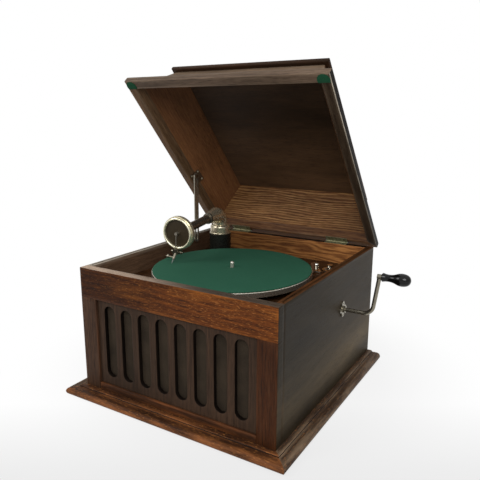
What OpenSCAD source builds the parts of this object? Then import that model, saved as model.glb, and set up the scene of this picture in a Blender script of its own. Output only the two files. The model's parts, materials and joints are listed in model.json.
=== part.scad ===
// Table gramophone: oak case with a hinged mansard lid, spring motor, turntable,
// nickel tone arm with a round sound box, and a winding crank on the right side.
// Millimetres, +Z up. The front is -Y, the crank is at +X. The origin is on the table,
// under the middle of the case. The lid stands open, as the machine is played.

/* [Case] */
// Width of the case over its side boards
case_w = 400; // [380:1:440]
// Depth of the case from front face to back face
case_d = 427; // [415:1:460]
// Height of the case top above the table
case_h = 245; // [241:1:263]
// Thickness of the side and back boards
board_t = 13; // [10:0.5:15]
// Thickness of the front frame
front_t = 18; // [16:0.5:22]
// Height of the rail above the grille
top_rail_h = 55; // [46:1:64]
// Height of the rail below the grille
bottom_rail_h = 13; // [10:1:18]
// Width of each upright beside the grille
stile_w = 35; // [28:1:38]

/* [Base] */
// Height of the base moulding where it meets the case
base_h = 17; // [15:0.5:22]
// How far the base moulding stands out from the case
base_out = 28; // [24:1:36]
// Width of the base frame under the boards
base_in = 45; // [36:1:60]
// Width of the raised fillet along the foot of the case
fillet_w = 10; // [6:0.5:12]
// Height of the step from the fillet to the nosing
fillet_step = 2.5; // [1.5:0.5:4]
// Thickness of the bottom board
bottom_t = 6; // [4:0.5:9]

/* [Grille] */
// Depth of the grille panel behind the front face
grille_recess = 4; // [2:0.5:6]
// Thickness of the grille panel
grille_t = 8; // [6:0.5:9]
// Number of upright slots
slot_n = 8; // [6:1:9]
// Width of one slot
slot_w = 25; // [18:0.5:27]
// Wood above each slot
slot_margin = 9; // [7.5:0.5:20]
// Wood below each slot
slot_foot = 16; // [9:0.5:24]
// Wood beside the outer slots
slot_side = 16; // [12:0.5:24]
// Thickness of the cloth behind the slots
cloth_t = 1; // [0.6:0.1:1.5]

/* [Lid] */
// How far the lid stands out over the case at the front and sides
lid_over = 5.5; // [3:0.5:7]
// How far the lid stands out behind the hinge axis
lid_rear = 5; // [3:0.5:6]
// Width of the flat underside of the lid rim
rim_w = 17; // [15:0.5:22]
// Thickness of the lid rim
rim_t = 15; // [12:0.5:18]
// Height of the inside of the lid above its rim
lid_depth = 86; // [84:1:100]
// How far the lid boards lean in over that height
lid_lean = 48; // [42:1:52]
// Thickness of the lid boards, measured level
lid_board_t = 17; // [15:0.5:20]
// Hollow of the outer face of the lid boards
lid_cove = 4; // [2:0.5:6]
// Thickness of the lid top panel
panel_t = 9; // [7:0.5:12]
// How far the top panel stands out over the boards
panel_over = 8; // [5:0.5:11]
// Angle at which the lid stands open
lid_open = 48.3; // [44:0.1:52]
// Gap between the closed lid and the case
lid_gap = 1.6; // [1.5:0.1:2.5]
// Diameter of the felt pads at the front corners
pad_d = 22; // [14:1:24]

/* [Turntable] */
// Diameter of the turntable
table_d = 305; // [290:1:310]
// Distance from the case top down to the felt
table_drop = 17; // [12:0.5:20]
// Height of the turned-down rim
table_rim_h = 10; // [7:0.5:12]
// Thickness of the pressed plate
table_t = 1.6; // [1.2:0.1:2.5]
// Thickness of the felt
felt_t = 1.5; // [1:0.1:2.5]
// Distance of the spindle in front of the middle of the case
spindle_y = 19; // [15:1:23]
// Diameter of the record spindle
spindle_d = 7.2; // [6.8:0.1:7.3]
// Height of the spindle above the felt
spindle_up = 12; // [9:0.5:14]

/* [Motor] */
// Distance from the case top down to the motor board
board_drop = 42; // [40:0.5:46]
// Thickness of the motor board
motor_board_t = 12; // [9:0.5:14]
// Length of the rubber bushes that carry the motor
bush_h = 11; // [8:0.5:13]
// Thickness of the motor plates
plate_t = 3; // [2.5:0.5:4]
// Distance between the motor plates
plate_gap = 67; // [66:0.5:70]
// Diameter of the spring barrel
barrel_d = 76; // [66:1:80]
// Height of the spring barrel
barrel_h = 28; // [22:1:29]
// Size of the gear teeth: pitch diameter divided by the count
tooth = 1.25; // [1.2:0.01:1.3]

/* [Crank] */
// Distance of the crank behind the middle of the case
crank_y = 43; // [38:1:50]
// Distance from the case top down to the crank
crank_drop = 82; // [81:0.5:83]
// Diameter of the crank rod
rod_d = 7.5; // [6.5:0.1:8.5]
// Distance from the side of the case to the crank arm
crank_out = 58; // [50:1:70]
// Throw of the crank from shaft to handle
crank_throw = 72; // [66:1:90]
// Lean of the crank arm away from the case
crank_lean = 8; // [4:1:12]
// Length of the crank handle
handle_l = 50; // [48:1:60]
// Largest diameter of the crank handle
handle_d = 22.5; // [19:0.5:26]

/* [Tone arm] */
// Distance of the pedestal from the inside of the left board
arm_side = 55; // [51:1:59]
// Distance of the pedestal behind the middle
arm_y = 140; // [137:1:145]
// Height of the black pedestal
pedestal_h = 47; // [43:0.5:49]
// Diameter of the pedestal
pedestal_d = 48; // [44:1:52]
// Outer radius of the elbow tube
elbow_r = 16; // [14:0.5:16.5]
// Radius of the elbow bend
elbow_bend = 22; // [20:0.5:25]
// Slope of the arm down to the sound box
arm_slope = 3.3; // [2:0.1:4]
// Direction of the arm in plan, measured from straight ahead
arm_yaw = 7.2; // [5:0.1:9]
// Distance from the pedestal to the face of the sound box
arm_l = 190.5; // [185:0.5:194]
// Diameter of the arm tube
tube_d = 18; // [16:0.5:19]
// Diameter of the sound box over its back shell
sound_d = 66; // [60:1:68]
// Slant of the stylus bar across the sound box
stylus_slant = 5; // [0:1:8]

/* [Fittings] */
// Length of each lid hinge
hinge_l = 48; // [38:1:60]
// Distance of each hinge from the middle
hinge_x = 119; // [100:1:140]
// Diameter of the hinge knuckle
knuckle_d = 5; // [4.8:0.1:6]
// Width of the lid stay bar
stay_w = 14; // [11:0.5:15]
// Distance from the hinge to the stay pivot along the lid
stay_u = 170; // [164:1:174]

/* [Hidden] */
$fn = 64;
// Fits: running fit of a shaft, free gap between moving faces, loose fit of boards
run_fit = 0.08;
free_gap = 0.4;
board_fit = 0.5;
mitre_gap = 0.1;
cut = 1;

// Planes of the case
front_y = -case_d / 2;
back_y = case_d / 2;
in_x = case_w / 2 - board_t;
in_front = front_y + front_t;
in_back = back_y - board_t;
open_w = case_w - 2 * stile_w;
open_z0 = base_h + bottom_rail_h;
open_z1 = case_h - top_rail_h;
open_h = open_z1 - open_z0;
slot_h = open_h - slot_margin - slot_foot;
slot_z = open_z0 + slot_foot + slot_h / 2;
slot_pitch = (open_w - 2 * slot_side - slot_w) / (slot_n - 1);
grille_y = front_y + grille_recess;
cloth_y = grille_y + grille_t;
horn_y = cloth_y + cloth_t;

// Lid frame: origin on the hinge axis, x across, y forward to back, z up from the closed rim
axis_back = knuckle_d / 2 + 0.5;
axis_y = back_y + axis_back;
axis_z = case_h + lid_gap / 2;
rim_z = lid_gap / 2;
lid_w = case_w + 2 * lid_over;
lean = lid_lean / lid_depth;
lid_back = lid_rear;
lid_front = -axis_back - case_d - lid_over;
lid_l = lid_back - lid_front;
panel_in = rim_w + lid_lean - lid_board_t - panel_over;
pad_t = lid_gap - free_gap;
leaf_t = lid_gap / 2 - 0.1;
leaf_w = board_t - 1;
mortise_l = hinge_l + 4;

// Motor board and turntable levels
board_z1 = case_h - board_drop;
board_z0 = board_z1 - motor_board_t;
felt_z = case_h - table_drop;
plate_z1 = felt_z - felt_t;
cleat_w = 14;
cleat_h = 12;

// Motor levels and gear train, counted from the turntable spindle
spindle_n = 12;
middle_wheel_n = 64;
middle_pinion_n = 12;
barrel_n = 72;
worm_wheel_n = 30;
motor_z1 = board_z0 - bush_h;
motor_z0 = motor_z1 - plate_gap - 2 * plate_t;
crank_z = case_h - crank_drop;
spindle_p = [0, -spindle_y];
barrel_p = [-40, crank_y];
dist_1 = tooth * (spindle_n + middle_wheel_n) / 2;
dist_2 = tooth * (middle_pinion_n + barrel_n) / 2;
span = norm(barrel_p - spindle_p);
along = (dist_1 * dist_1 - dist_2 * dist_2 + span * span) / (2 * span);
aside = sqrt(dist_1 * dist_1 - along * along);
to_barrel = (barrel_p - spindle_p) / span;
middle_p = spindle_p + along * to_barrel + aside * [-to_barrel[1], to_barrel[0]];
function heading(a, b) = atan2(b[1] - a[1], b[0] - a[0]);
gear_h = 5;
barrel_gear_z = motor_z0 + plate_t + 3;
barrel_z = barrel_gear_z + gear_h - 1;
wheel_z = motor_z1 - plate_t - gear_h - 5;
arbor_d = 8;

// Governor: a worm shaft that lies behind the spindle, along X
worm_r = 5;
worm_wheel_r = 18;
governor_y = -spindle_y - worm_wheel_r - worm_r - free_gap;
governor_z = motor_z0 + 28;
governor_x1 = 104;
disc_x = 86;
disc_r = 17;

// Winding gear: apex of both cones on the barrel axis, level with the crank
bevel_wheel_r = 16;
bevel_pinion_r = 8;

// Crank
bend_r = 18;
shaft_x0 = barrel_p[0] + bevel_wheel_r - 6 + free_gap;
arm_x1 = case_w / 2 + crank_out;
handle_z = crank_z + crank_throw;
bend_turn = 90 - crank_lean;
arm_z0 = crank_z + bend_r * (1 - cos(bend_turn));
handle_x = arm_x1 + (handle_z - arm_z0) * tan(crank_lean);
boss_x = 4;

// Tone arm
arm_x = in_x - arm_side;
pedestal_z1 = board_z1 + pedestal_h;
spigot_d = 36;
spigot_h = 14;
collar_h = 21;
elbow_z = pedestal_z1 + collar_h + 3;
elbow_wall = 1.6;
elbow_step = 0.4;
elbow_lap = 0.8;
joint_s = 34;
socket_l = 14;
tube_r = tube_d / 2;
sound_r = sound_d / 2;
ring_s = arm_l - elbow_bend;

// Brake and speed regulator on the motor board
brake_off = 27.5;
brake_at = 38.5;
brake_p = spindle_p + (table_d / 2 + brake_off) * [sin(brake_at), cos(brake_at)];
dial_p = brake_p + [22, 20];

// Stay on the left, in the plane between the case side and the lid board
stay_x = -in_x + 11;
stay_t = 2;
stay_v = 9;

WOOD_DARK = "#4a2b17";
WOOD = "#6b4022";
WOOD_LIGHT = "#86592f";
NICKEL = "#b9b2a0";
STEEL = "#8f8f8c";
BRASS = "#b08d4a";
BLACK = "#161412";
FELT = "#24503c";
CLOTH = "#2f2823";

// A straight board from corner a to corner b
module board(a, b) {
    translate(a) cube(b - a);
}

// A flat bar with round ends between two points in plan
module link(a, b, w, h) {
    turn = heading(a, b);
    translate([a[0], a[1], 0]) rotate([0, 0, turn]) {
        translate([0, -w / 2, 0]) cube([norm(b - a), w, h]);
        cylinder(d = w, h = h);
        translate([norm(b - a), 0, 0]) cylinder(d = w, h = h);
    }
}

// A cylinder along X from x0 to x1
module rod_x(x0, x1, r) {
    translate([x0, 0, 0]) rotate([0, 90, 0]) cylinder(r = r, h = x1 - x0);
}

// A spur gear with straight-sided teeth; one tooth points along +X
module gear(n, h, bore) {
    pitch_r = n * tooth / 2;
    root_r = pitch_r - 1.15 * tooth;
    tip_r = pitch_r + 0.75 * tooth;
    step = 360 / n;
    at = [[root_r, -0.3], [pitch_r, -0.215], [tip_r, -0.09], [tip_r, 0.09], [pitch_r, 0.215], [root_r, 0.3]];
    points = [for (k = [0:n - 1], p = at) p[0] * [cos((k + p[1]) * step), sin((k + p[1]) * step)]];
    linear_extrude(h) difference() {
        polygon(points);
        if (bore > 0) circle(d = bore);
    }
}

// Case

// Section of the base moulding: u runs out from the face of the case
module base_section() {
    nose = base_h - fillet_step;
    translate([-base_in, 0]) square([base_in + base_out - nose / 2, nose]);
    translate([base_out - nose / 2, nose / 2]) circle(d = nose);
    translate([-base_in, 0]) square([base_in + fillet_w - fillet_step, base_h]);
    translate([fillet_w - fillet_step, base_h - fillet_step]) circle(r = fillet_step);
    translate([0, nose - cut]) square([fillet_w, cut]);
}

module base_side() {
    x0 = case_w / 2 - base_in;
    x1 = case_w / 2 + base_out;
    intersection() {
        translate([case_w / 2, back_y, 0]) rotate([90, 0, 0]) linear_extrude(case_d + base_out)
            base_section();
        linear_extrude(base_h)
            polygon([[x0, back_y], [x1, back_y], [x1, front_y - base_out + mitre_gap],
                [x0, front_y + base_in + mitre_gap]]);
    }
}

module base_moulding() {
    x0 = case_w / 2 - base_in;
    x1 = case_w / 2 + base_out;
    color(WOOD) {
        intersection() {
            translate([0, front_y, 0]) mirror([0, 1, 0]) rotate([90, 0, 90])
                linear_extrude(2 * x1, center = true) base_section();
            linear_extrude(base_h) polygon([[-x1, front_y - base_out], [x1, front_y - base_out],
                [x0, front_y + base_in], [-x0, front_y + base_in]]);
        }
        base_side();
        mirror([1, 0, 0]) base_side();
        board([-x0 + mitre_gap, back_y - base_in, 0], [x0 - mitre_gap, back_y, base_h]);
    }
}

// The bottom board is let into the base frame, flush with its underside
module bottom_board() {
    x0 = case_w / 2 - base_in;
    color(WOOD_DARK) board([-x0, front_y + base_in, 0], [x0, back_y - base_in, bottom_t]);
}

module left_side() {
    color(WOOD_DARK) board([-case_w / 2, in_front, base_h], [-in_x, back_y, case_h]);
}

module right_side() {
    color(WOOD_DARK) difference() {
        board([in_x, in_front, base_h], [case_w / 2, back_y, case_h]);
        translate([0, crank_y, crank_z]) rod_x(in_x - cut, case_w / 2 + cut, rod_d / 2 + 3);
    }
}

module back_panel() {
    color(WOOD_LIGHT) board([-in_x, in_back, base_h], [in_x, back_y, case_h]);
}

module front_top_rail() {
    color(WOOD) board([-case_w / 2, front_y, open_z1], [case_w / 2, in_front, case_h]);
}

module front_bottom_rail() {
    color(WOOD) board([-open_w / 2, front_y, base_h], [open_w / 2, in_front, open_z0]);
}

module front_stiles() {
    color(WOOD) for (side = [0, 1]) mirror([side, 0, 0])
        board([open_w / 2, front_y, base_h], [case_w / 2, in_front, open_z1]);
}

// Panel with upright slots, cut with round ends right through
module grille_panel() {
    color(WOOD_DARK) translate([0, cloth_y, slot_z]) rotate([90, 0, 0])
        linear_extrude(grille_t) difference() {
            translate([-open_w / 2, open_z0 - slot_z]) square([open_w, open_h]);
            for (k = [0:slot_n - 1]) translate([(k - (slot_n - 1) / 2) * slot_pitch, 0]) {
                square([slot_w, slot_h - slot_w], center = true);
                for (end = [-1, 1]) translate([0, end * (slot_h - slot_w) / 2]) circle(d = slot_w);
            }
        }
}

module grille_cloth() {
    color(CLOTH) board([-open_w / 2, cloth_y, open_z0], [open_w / 2, horn_y, open_z1]);
}

module motor_board() {
    color(WOOD_DARK) difference() {
        board([-in_x + board_fit, in_front + board_fit, board_z0], [in_x - board_fit, in_back - board_fit,
            board_z1]);
        translate([spindle_p[0], spindle_p[1], board_z0 - cut])
            cylinder(d = 2 * arbor_d, h = motor_board_t + 2 * cut);
        translate([-arm_x, arm_y, board_z0 - cut]) cylinder(d = spigot_d, h = motor_board_t + 2 * cut);
        for (p = bolt_places()) translate([p[0], p[1], board_z0 - cut])
            cylinder(d = bolt_d, h = motor_board_t + 2 * cut);
        translate([dial_p[0], dial_p[1], board_z0 - cut])
            cylinder(d = speed_shaft_d + 1, h = motor_board_t + 2 * cut);
    }
}

module motor_board_cleats() {
    z0 = board_z0 - cleat_h;
    color(WOOD_LIGHT) {
        for (side = [0, 1]) mirror([side, 0, 0])
            board([in_x - cleat_w, in_front, z0], [in_x, in_back - cleat_w - mitre_gap, board_z0]);
        board([-in_x, in_back - cleat_w, z0], [in_x, in_back, board_z0]);
    }
}

// Sound way

throat_r = 22;
throat_bend = 34;
neck_z0 = base_h + 8;
neck_z1 = motor_z0 - 6;
throat_z = (neck_z0 + neck_z1) / 2;
throat_y = arm_y - throat_bend;
horn_wall = 6;
horn_back_y = throat_y - 8;
horn_neck = 60;

// Side view of the horn between two offsets: low under the motor, then flaring to the mouth
module horn_side(inset) {
    z0 = open_z0 + 1 + inset;
    z1 = open_z1 - 1 - inset;
    low = neck_z1 - inset;
    knee_y = -80;
    polygon([[horn_y, z0], [horn_y, z1], [knee_y, low], [horn_back_y + (inset > 0 ? cut : 0), low],
        [horn_back_y + (inset > 0 ? cut : 0), neck_z0 + inset], [knee_y, z0]]);
}

// Plan of the horn between two offsets
module horn_plan(inset) {
    mouth = open_w / 2 - 1 - inset;
    neck = horn_neck / 2 - inset;
    end = horn_back_y + (inset > 0 ? cut : 0);
    polygon([[-mouth, horn_y], [mouth, horn_y], [-arm_x + neck, end], [-arm_x - neck, end]]);
}

module horn_body(inset) {
    intersection() {
        rotate([90, 0, 90]) linear_extrude(case_w, center = true) horn_side(inset);
        linear_extrude(case_h) horn_plan(inset);
    }
}

module horn() {
    color(WOOD_LIGHT) difference() {
        horn_body(0);
        translate([0, -0.01, 0]) horn_body(horn_wall);
    }
}

// Cast elbow from the pedestal down and forward to the neck of the horn
module horn_throat() {
    color(BLACK) translate([-arm_x, arm_y, 0]) difference() {
        union() {
            translate([0, 0, throat_z + throat_bend])
                cylinder(r = throat_r, h = board_z0 - throat_z - throat_bend);
            translate([0, 0, board_z0 - 5]) cylinder(r = throat_r + 10, h = 5);
            translate([0, -throat_bend, throat_z + throat_bend]) rotate([0, 0, 90]) rotate([90, 0, 0])
                rotate([0, 0, -90]) rotate_extrude(angle = 90) translate([throat_bend, 0])
                    circle(r = throat_r);
            translate([0, -throat_bend, throat_z]) rotate([90, 0, 0])
                cylinder(r = throat_r + 6, h = throat_y - horn_back_y);
        }
        translate([0, 0, throat_z + throat_bend]) cylinder(r = throat_r - 4, h = board_z0);
        translate([0, -throat_bend, throat_z + throat_bend]) rotate([0, 0, 90]) rotate([90, 0, 0])
            rotate([0, 0, -90]) rotate_extrude(angle = 90) translate([throat_bend, 0])
                circle(r = throat_r - 4);
        translate([0, -throat_bend, throat_z]) rotate([90, 0, 0]) cylinder(r = throat_r - 4, h = 40);
    }
}

// Lid: everything here is drawn closed, on the hinge axis, and turned open by in_lid

module in_lid() {
    translate([0, axis_y, axis_z]) rotate([-lid_open, 0, 0]) children();
}

// Four mitred lengths of the section given as child: x runs in from the lid's edge, y runs up
module lid_runs() {
    mid_y = (lid_front + lid_back) / 2;
    reach = rim_w + lid_lean + 8;
    high = lid_depth + panel_t;
    for (end = [0, 1]) translate([0, mid_y, 0]) mirror([0, end, 0]) translate([0, -mid_y, 0]) intersection() {
        translate([0, lid_front, rim_z]) rotate([90, 0, 90]) linear_extrude(lid_w, center = true) children();
        translate([0, 0, rim_z]) linear_extrude(high)
            polygon([[-lid_w / 2, lid_front], [lid_w / 2, lid_front],
            [lid_w / 2 - reach, lid_front + reach], [-lid_w / 2 + reach, lid_front + reach]]);
    }
    for (side = [0, 1]) mirror([side, 0, 0]) intersection() {
        translate([-lid_w / 2, lid_back, rim_z]) rotate([90, 0, 0]) linear_extrude(lid_l) children();
        translate([0, 0, rim_z]) linear_extrude(high) polygon([[-lid_w / 2, lid_front + mitre_gap],
            [-lid_w / 2, lid_back - mitre_gap], [-lid_w / 2 + reach, lid_back - reach - mitre_gap],
            [-lid_w / 2 + reach, lid_front + reach + mitre_gap]]);
    }
}

// Rim: a flat underside, an eased lower edge and a rounded upper edge
module rim_section() {
    low_r = 1.5;
    high_r = rim_t / 3;
    translate([0, low_r]) square([rim_w, rim_t - low_r - high_r]);
    translate([low_r, low_r]) circle(r = low_r);
    translate([high_r, rim_t - high_r]) circle(r = high_r);
    polygon([[low_r, 0], [rim_w, 0], [rim_w + lean * rim_t, rim_t], [high_r, rim_t]]);
}

// Leaning board with a shallow cove on its outer face
module board_section() {
    low = [rim_w + lean * rim_t, rim_t];
    high = [rim_w + lid_lean, lid_depth];
    thick = [lid_board_t, 0];
    chord = norm(high - low);
    cove_r = (chord * chord / 4 + lid_cove * lid_cove) / (2 * lid_cove);
    out = [low[1] - high[1], high[0] - low[0]] / chord;
    middle = (low + high) / 2 - thick;
    difference() {
        polygon([low, high, high - thick, low - thick]);
        translate(middle + (cove_r - lid_cove) * out) circle(r = cove_r, $fn = 180);
    }
}

module lid_rim() {
    color(WOOD) in_lid() difference() {
        lid_runs() rim_section();
        for (side = [-1, 1]) translate([side * hinge_x, 0, 0])
            rod_x(-mortise_l / 2, mortise_l / 2, knuckle_d / 2 + free_gap);
    }
}

module lid_boards() {
    color(WOOD_LIGHT) in_lid() lid_runs() board_section();
}

// Section of the top panel with rounded upper and lower edges
module panel_section(w) {
    r = panel_t / 3;
    for (x = [-1, 1], z = [r, panel_t - r]) translate([x * (w / 2 - r), z]) circle(r = r);
    translate([-w / 2 + r, 0]) square([w - 2 * r, panel_t]);
    translate([-w / 2, r]) square([w, panel_t - 2 * r]);
}

module lid_top_panel() {
    w = lid_w - 2 * panel_in;
    l = lid_l - 2 * panel_in;
    color(WOOD) in_lid() translate([0, (lid_front + lid_back) / 2, rim_z + lid_depth]) intersection() {
        translate([0, l / 2, 0]) rotate([90, 0, 0]) linear_extrude(l) panel_section(w);
        translate([-w / 2, 0, 0]) rotate([90, 0, 90]) linear_extrude(w) panel_section(l);
    }
}

module lid_pads() {
    inset = pad_d / 2 + 1;
    color(FELT) in_lid() for (side = [-1, 1])
        translate([side * (lid_w / 2 - inset), lid_front + inset, rim_z - pad_t]) intersection() {
            cylinder(d = pad_d, h = pad_t);
            board([-pad_d, -pad_d, 0], [pad_d, rim_w - inset, pad_t]);
        }
}

// Hinges

pin_d = 2.6;
knuckle_n = 3;
knuckle_gap = 0.3;
knuckle_l = hinge_l / knuckle_n;

// One knuckle, numbered from the left
module knuckle(k) {
    translate([(k - knuckle_n / 2) * knuckle_l + knuckle_gap / 2, 0, 0])
        rod_x(0, knuckle_l - knuckle_gap, knuckle_d / 2);
}

// A leaf that lies in front of the axis between heights z0 and z1, and carries the given knuckles
module leaf(z0, z1, knuckles) {
    difference() {
        union() {
            board([-hinge_l / 2, -axis_back - leaf_w, z0], [hinge_l / 2, -axis_back, z1]);
            for (k = knuckles) {
                knuckle(k);
                translate([(k - knuckle_n / 2) * knuckle_l + knuckle_gap / 2, -axis_back - cut, z0])
                    cube([knuckle_l - knuckle_gap, axis_back + cut, z1 - z0]);
            }
        }
        rod_x(-hinge_l, hinge_l, pin_d / 2 + run_fit);
    }
}

module hinge_case_leaves() {
    color(NICKEL) for (side = [-1, 1]) translate([side * hinge_x, axis_y, axis_z])
        leaf(-lid_gap / 2, -lid_gap / 2 + leaf_t, [0, 2]);
}

module hinge_lid_leaves() {
    color(NICKEL) in_lid() for (side = [-1, 1]) translate([side * hinge_x, 0, 0])
        leaf(rim_z - leaf_t, rim_z, [1]);
}

module hinge_pins() {
    color(STEEL) for (side = [-1, 1]) translate([side * hinge_x, axis_y, axis_z]) {
        rod_x(-hinge_l / 2, hinge_l / 2, pin_d / 2);
        for (end = [-1, 1]) rod_x(end * (hinge_l / 2 + 0.6) - 0.6, end * (hinge_l / 2 + 0.6) + 0.6,
            pin_d / 2 + 0.7);
    }
}

// Lid stay: a slotted bar that hangs from the lid and slides on a stud in the case

stud_d = 5;
pivot_y = axis_y - stay_u * cos(lid_open) + (rim_z + stay_v) * sin(lid_open);
pivot_z = axis_z + stay_u * sin(lid_open) + (rim_z + stay_v) * cos(lid_open);
stay_end = 8;
stay_len = pivot_z - (case_h - stay_end);
stay_inset = lid_w / 2 - rim_w;

module stay_bracket() {
    tilt = atan(lean);
    plate = [1.6, 30, 24];
    foot_x = -stay_inset + lean * stay_v;
    color(NICKEL) in_lid() translate([0, -stay_u, rim_z + stay_v]) {
        translate([foot_x, 0, 0]) rotate([0, tilt, 0]) translate([0, -stay_w / 2, -plate[2] / 4]) cube(plate);
        rod_x(foot_x + 0.8, stay_x + stay_t / 2 + free_gap + 1.5, stud_d / 2);
        rod_x(stay_x + stay_t / 2 + free_gap, stay_x + stay_t / 2 + free_gap + 1.5, stud_d / 2 + 1.5);
    }
}

module lid_stay() {
    slot = 34;
    color(NICKEL) translate([stay_x - stay_t / 2, pivot_y, pivot_z]) rotate([0, 90, 0]) difference() {
        link([0, 0], [stay_len, 0], stay_w, stay_t);
        translate([0, 0, -cut]) cylinder(d = stud_d + 2 * run_fit, h = stay_t + 2 * cut);
        translate([0, 0, -cut]) link([stay_len - slot, 0], [stay_len - 1, 0], stud_d + 0.6, stay_t + 2 * cut);
    }
}

module stay_stud() {
    reach = stay_x - stay_t / 2 - free_gap;
    color(NICKEL) translate([0, pivot_y, pivot_z - stay_len]) {
        rod_x(-in_x, -in_x + 2, 6.5);
        rod_x(-in_x, reach, stud_d / 2);
    }
}

// Motor

motor_x0 = -96;
motor_x1 = 112;
motor_y0 = -68;
motor_y1 = 94;
pillar_in = 9;
bolt_d = 5;
head_d = 10;
head_h = 3;
nut_d = 9;
nut_h = 4;
bush_d = 16;
speed_shaft_d = 6;
winding_post_x = 62;
function bolt_places() = [[-74, -46], [84, -46], [20, 78]];

// A rectangle with round corners between two corners
module round_rect(a, b, r) {
    translate(a + [r, 0]) square(b - a - [2 * r, 0]);
    translate(a + [0, r]) square(b - a - [0, 2 * r]);
    for (x = [a[0] + r, b[0] - r], y = [a[1] + r, b[1] - r]) translate([x, y]) circle(r = r);
}

module motor_plate(z) {
    translate([0, 0, z]) linear_extrude(plate_t) difference() {
        round_rect([motor_x0, motor_y0], [motor_x1, motor_y1], 10);
        for (p = [spindle_p, barrel_p, middle_p]) translate(p) circle(d = arbor_d + 2 * run_fit);
    }
}

module motor_plates() {
    color(STEEL) {
        difference() {
            motor_plate(motor_z1 - plate_t);
            for (p = bolt_places()) translate([p[0], p[1], motor_z1 - plate_t - cut])
                cylinder(d = bolt_d, h = plate_t + 2 * cut);
        }
        motor_plate(motor_z0);
    }
}

module motor_pillars() {
    color(STEEL) for (x = [motor_x0 + pillar_in, motor_x1 - pillar_in], y = [motor_y0 + pillar_in,
        motor_y1 - pillar_in])
        translate([x, y, motor_z0 + plate_t]) cylinder(d = 10, h = plate_gap);
}

// Bolts hang the motor from the board; their heads show on top of it
module motor_bolts() {
    color(NICKEL) for (p = bolt_places()) translate([p[0], p[1], 0]) {
        translate([0, 0, motor_z1 - plate_t - nut_h])
            cylinder(d = bolt_d, h = board_z1 - motor_z1 + plate_t + nut_h);
        translate([0, 0, board_z1]) cylinder(d = head_d, h = head_h);
        translate([0, 0, motor_z1 - plate_t - nut_h]) cylinder(d = nut_d, h = nut_h, $fn = 6);
    }
}

module motor_bushes() {
    color(BLACK) for (p = bolt_places()) translate([p[0], p[1], motor_z1]) difference() {
        cylinder(d = bush_d, h = bush_h);
        translate([0, 0, -cut]) cylinder(d = bolt_d, h = bush_h + 2 * cut);
    }
}

// Upright bearing for a shaft along X, on the bottom plate
module bearing_post(x, y, z, w, d) {
    translate([x - w / 2, y, 0]) difference() {
        union() {
            board([0, -6, motor_z0 + plate_t], [w, 6, z]);
            translate([0, 0, z]) rod_x(0, w, 6);
        }
        translate([0, 0, z]) rod_x(-cut, w + cut, d / 2 + run_fit);
    }
}

module motor_bearings() {
    color(BRASS) {
        bearing_post(-20, governor_y, governor_z, 6, 5);
        bearing_post(governor_x1 - 3, governor_y, governor_z, 6, 5);
        bearing_post(winding_post_x, crank_y, crank_z, 8, rod_d);
    }
}

// Spring barrel: toothed foot and a drum, open on top for its cover
module spring_barrel() {
    wall = 2;
    color(STEEL) translate([barrel_p[0], barrel_p[1], 0]) difference() {
        union() {
            translate([0, 0, barrel_gear_z]) rotate([0, 0, heading(barrel_p, middle_p) + 180 / barrel_n])
                gear(barrel_n, gear_h, 0);
            translate([0, 0, barrel_z]) cylinder(d = barrel_d, h = barrel_h);
        }
        translate([0, 0, barrel_gear_z - cut])
            cylinder(d = arbor_d + 2 * run_fit, h = barrel_h + gear_h + cut);
        translate([0, 0, barrel_z + wall]) cylinder(d = barrel_d - 2 * wall, h = barrel_h);
    }
}

module barrel_cover() {
    color(BRASS) translate([barrel_p[0], barrel_p[1], barrel_z + barrel_h - 2]) difference() {
        cylinder(d = barrel_d - 4, h = 2);
        translate([0, 0, -cut]) cylinder(d = arbor_d + 2 * run_fit, h = 2 + 2 * cut);
    }
}

// Wound spring: a flat strip on a spiral from the arbor to the wall of the drum
module mainspring() {
    turns = 7;
    strip = 1;
    per_turn = 24;
    r0 = arbor_d / 2 + 1;
    r1 = barrel_d / 2 - 3;
    function at(k, side) = (r0 + (r1 - r0) * k / (turns * per_turn) + side) * [cos(k * 360 / per_turn),
        sin(k * 360 / per_turn)];
    inner = [for (k = [0:turns * per_turn]) at(k, 0)];
    outer = [for (k = [turns * per_turn:-1:0]) at(k, strip)];
    color(STEEL) translate([barrel_p[0], barrel_p[1], barrel_z + 2]) linear_extrude(barrel_h - 5)
        polygon(concat(inner, outer));
}

// A bevel gear: teeth cut on the cone whose tip is at the origin, pointing up
module bevel(r_big, depth, n, width, hub) {
    r_small = r_big - width;
    slope = depth / r_big;
    h = width * slope;
    difference() {
        union() {
            translate([0, 0, -depth]) cylinder(r1 = r_big, r2 = r_small, h = h);
            translate([0, 0, -depth - hub]) cylinder(r = r_big, h = hub);
        }
        for (k = [0:n - 1]) rotate([0, 0, k * 360 / n]) translate([r_big, 0, -depth])
            rotate([0, atan(slope), 0])
            translate([-2 * width, -PI * r_big / n / 2.4, -1.6]) cube([3 * width, PI * r_big / n / 1.2, 4]);
    }
}

module winding_arbor() {
    color(STEEL) translate([barrel_p[0], barrel_p[1], 0]) {
        translate([0, 0, motor_z0]) cylinder(d = arbor_d, h = motor_z1 - motor_z0);
        translate([0, 0, crank_z - free_gap]) bevel(bevel_wheel_r, bevel_pinion_r, 24, 6, 4);
    }
}

module middle_arbor() {
    color(BRASS) translate([middle_p[0], middle_p[1], 0]) {
        translate([0, 0, motor_z0]) cylinder(d = arbor_d, h = motor_z1 - motor_z0);
        translate([0, 0, barrel_gear_z - 0.5]) rotate([0, 0, heading(middle_p, barrel_p)])
            gear(middle_pinion_n, gear_h + 1, 0);
        translate([0, 0, wheel_z]) rotate([0, 0, heading(middle_p, spindle_p) + 180 / middle_wheel_n])
            gear(middle_wheel_n, gear_h - 1, 0);
    }
}

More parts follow.
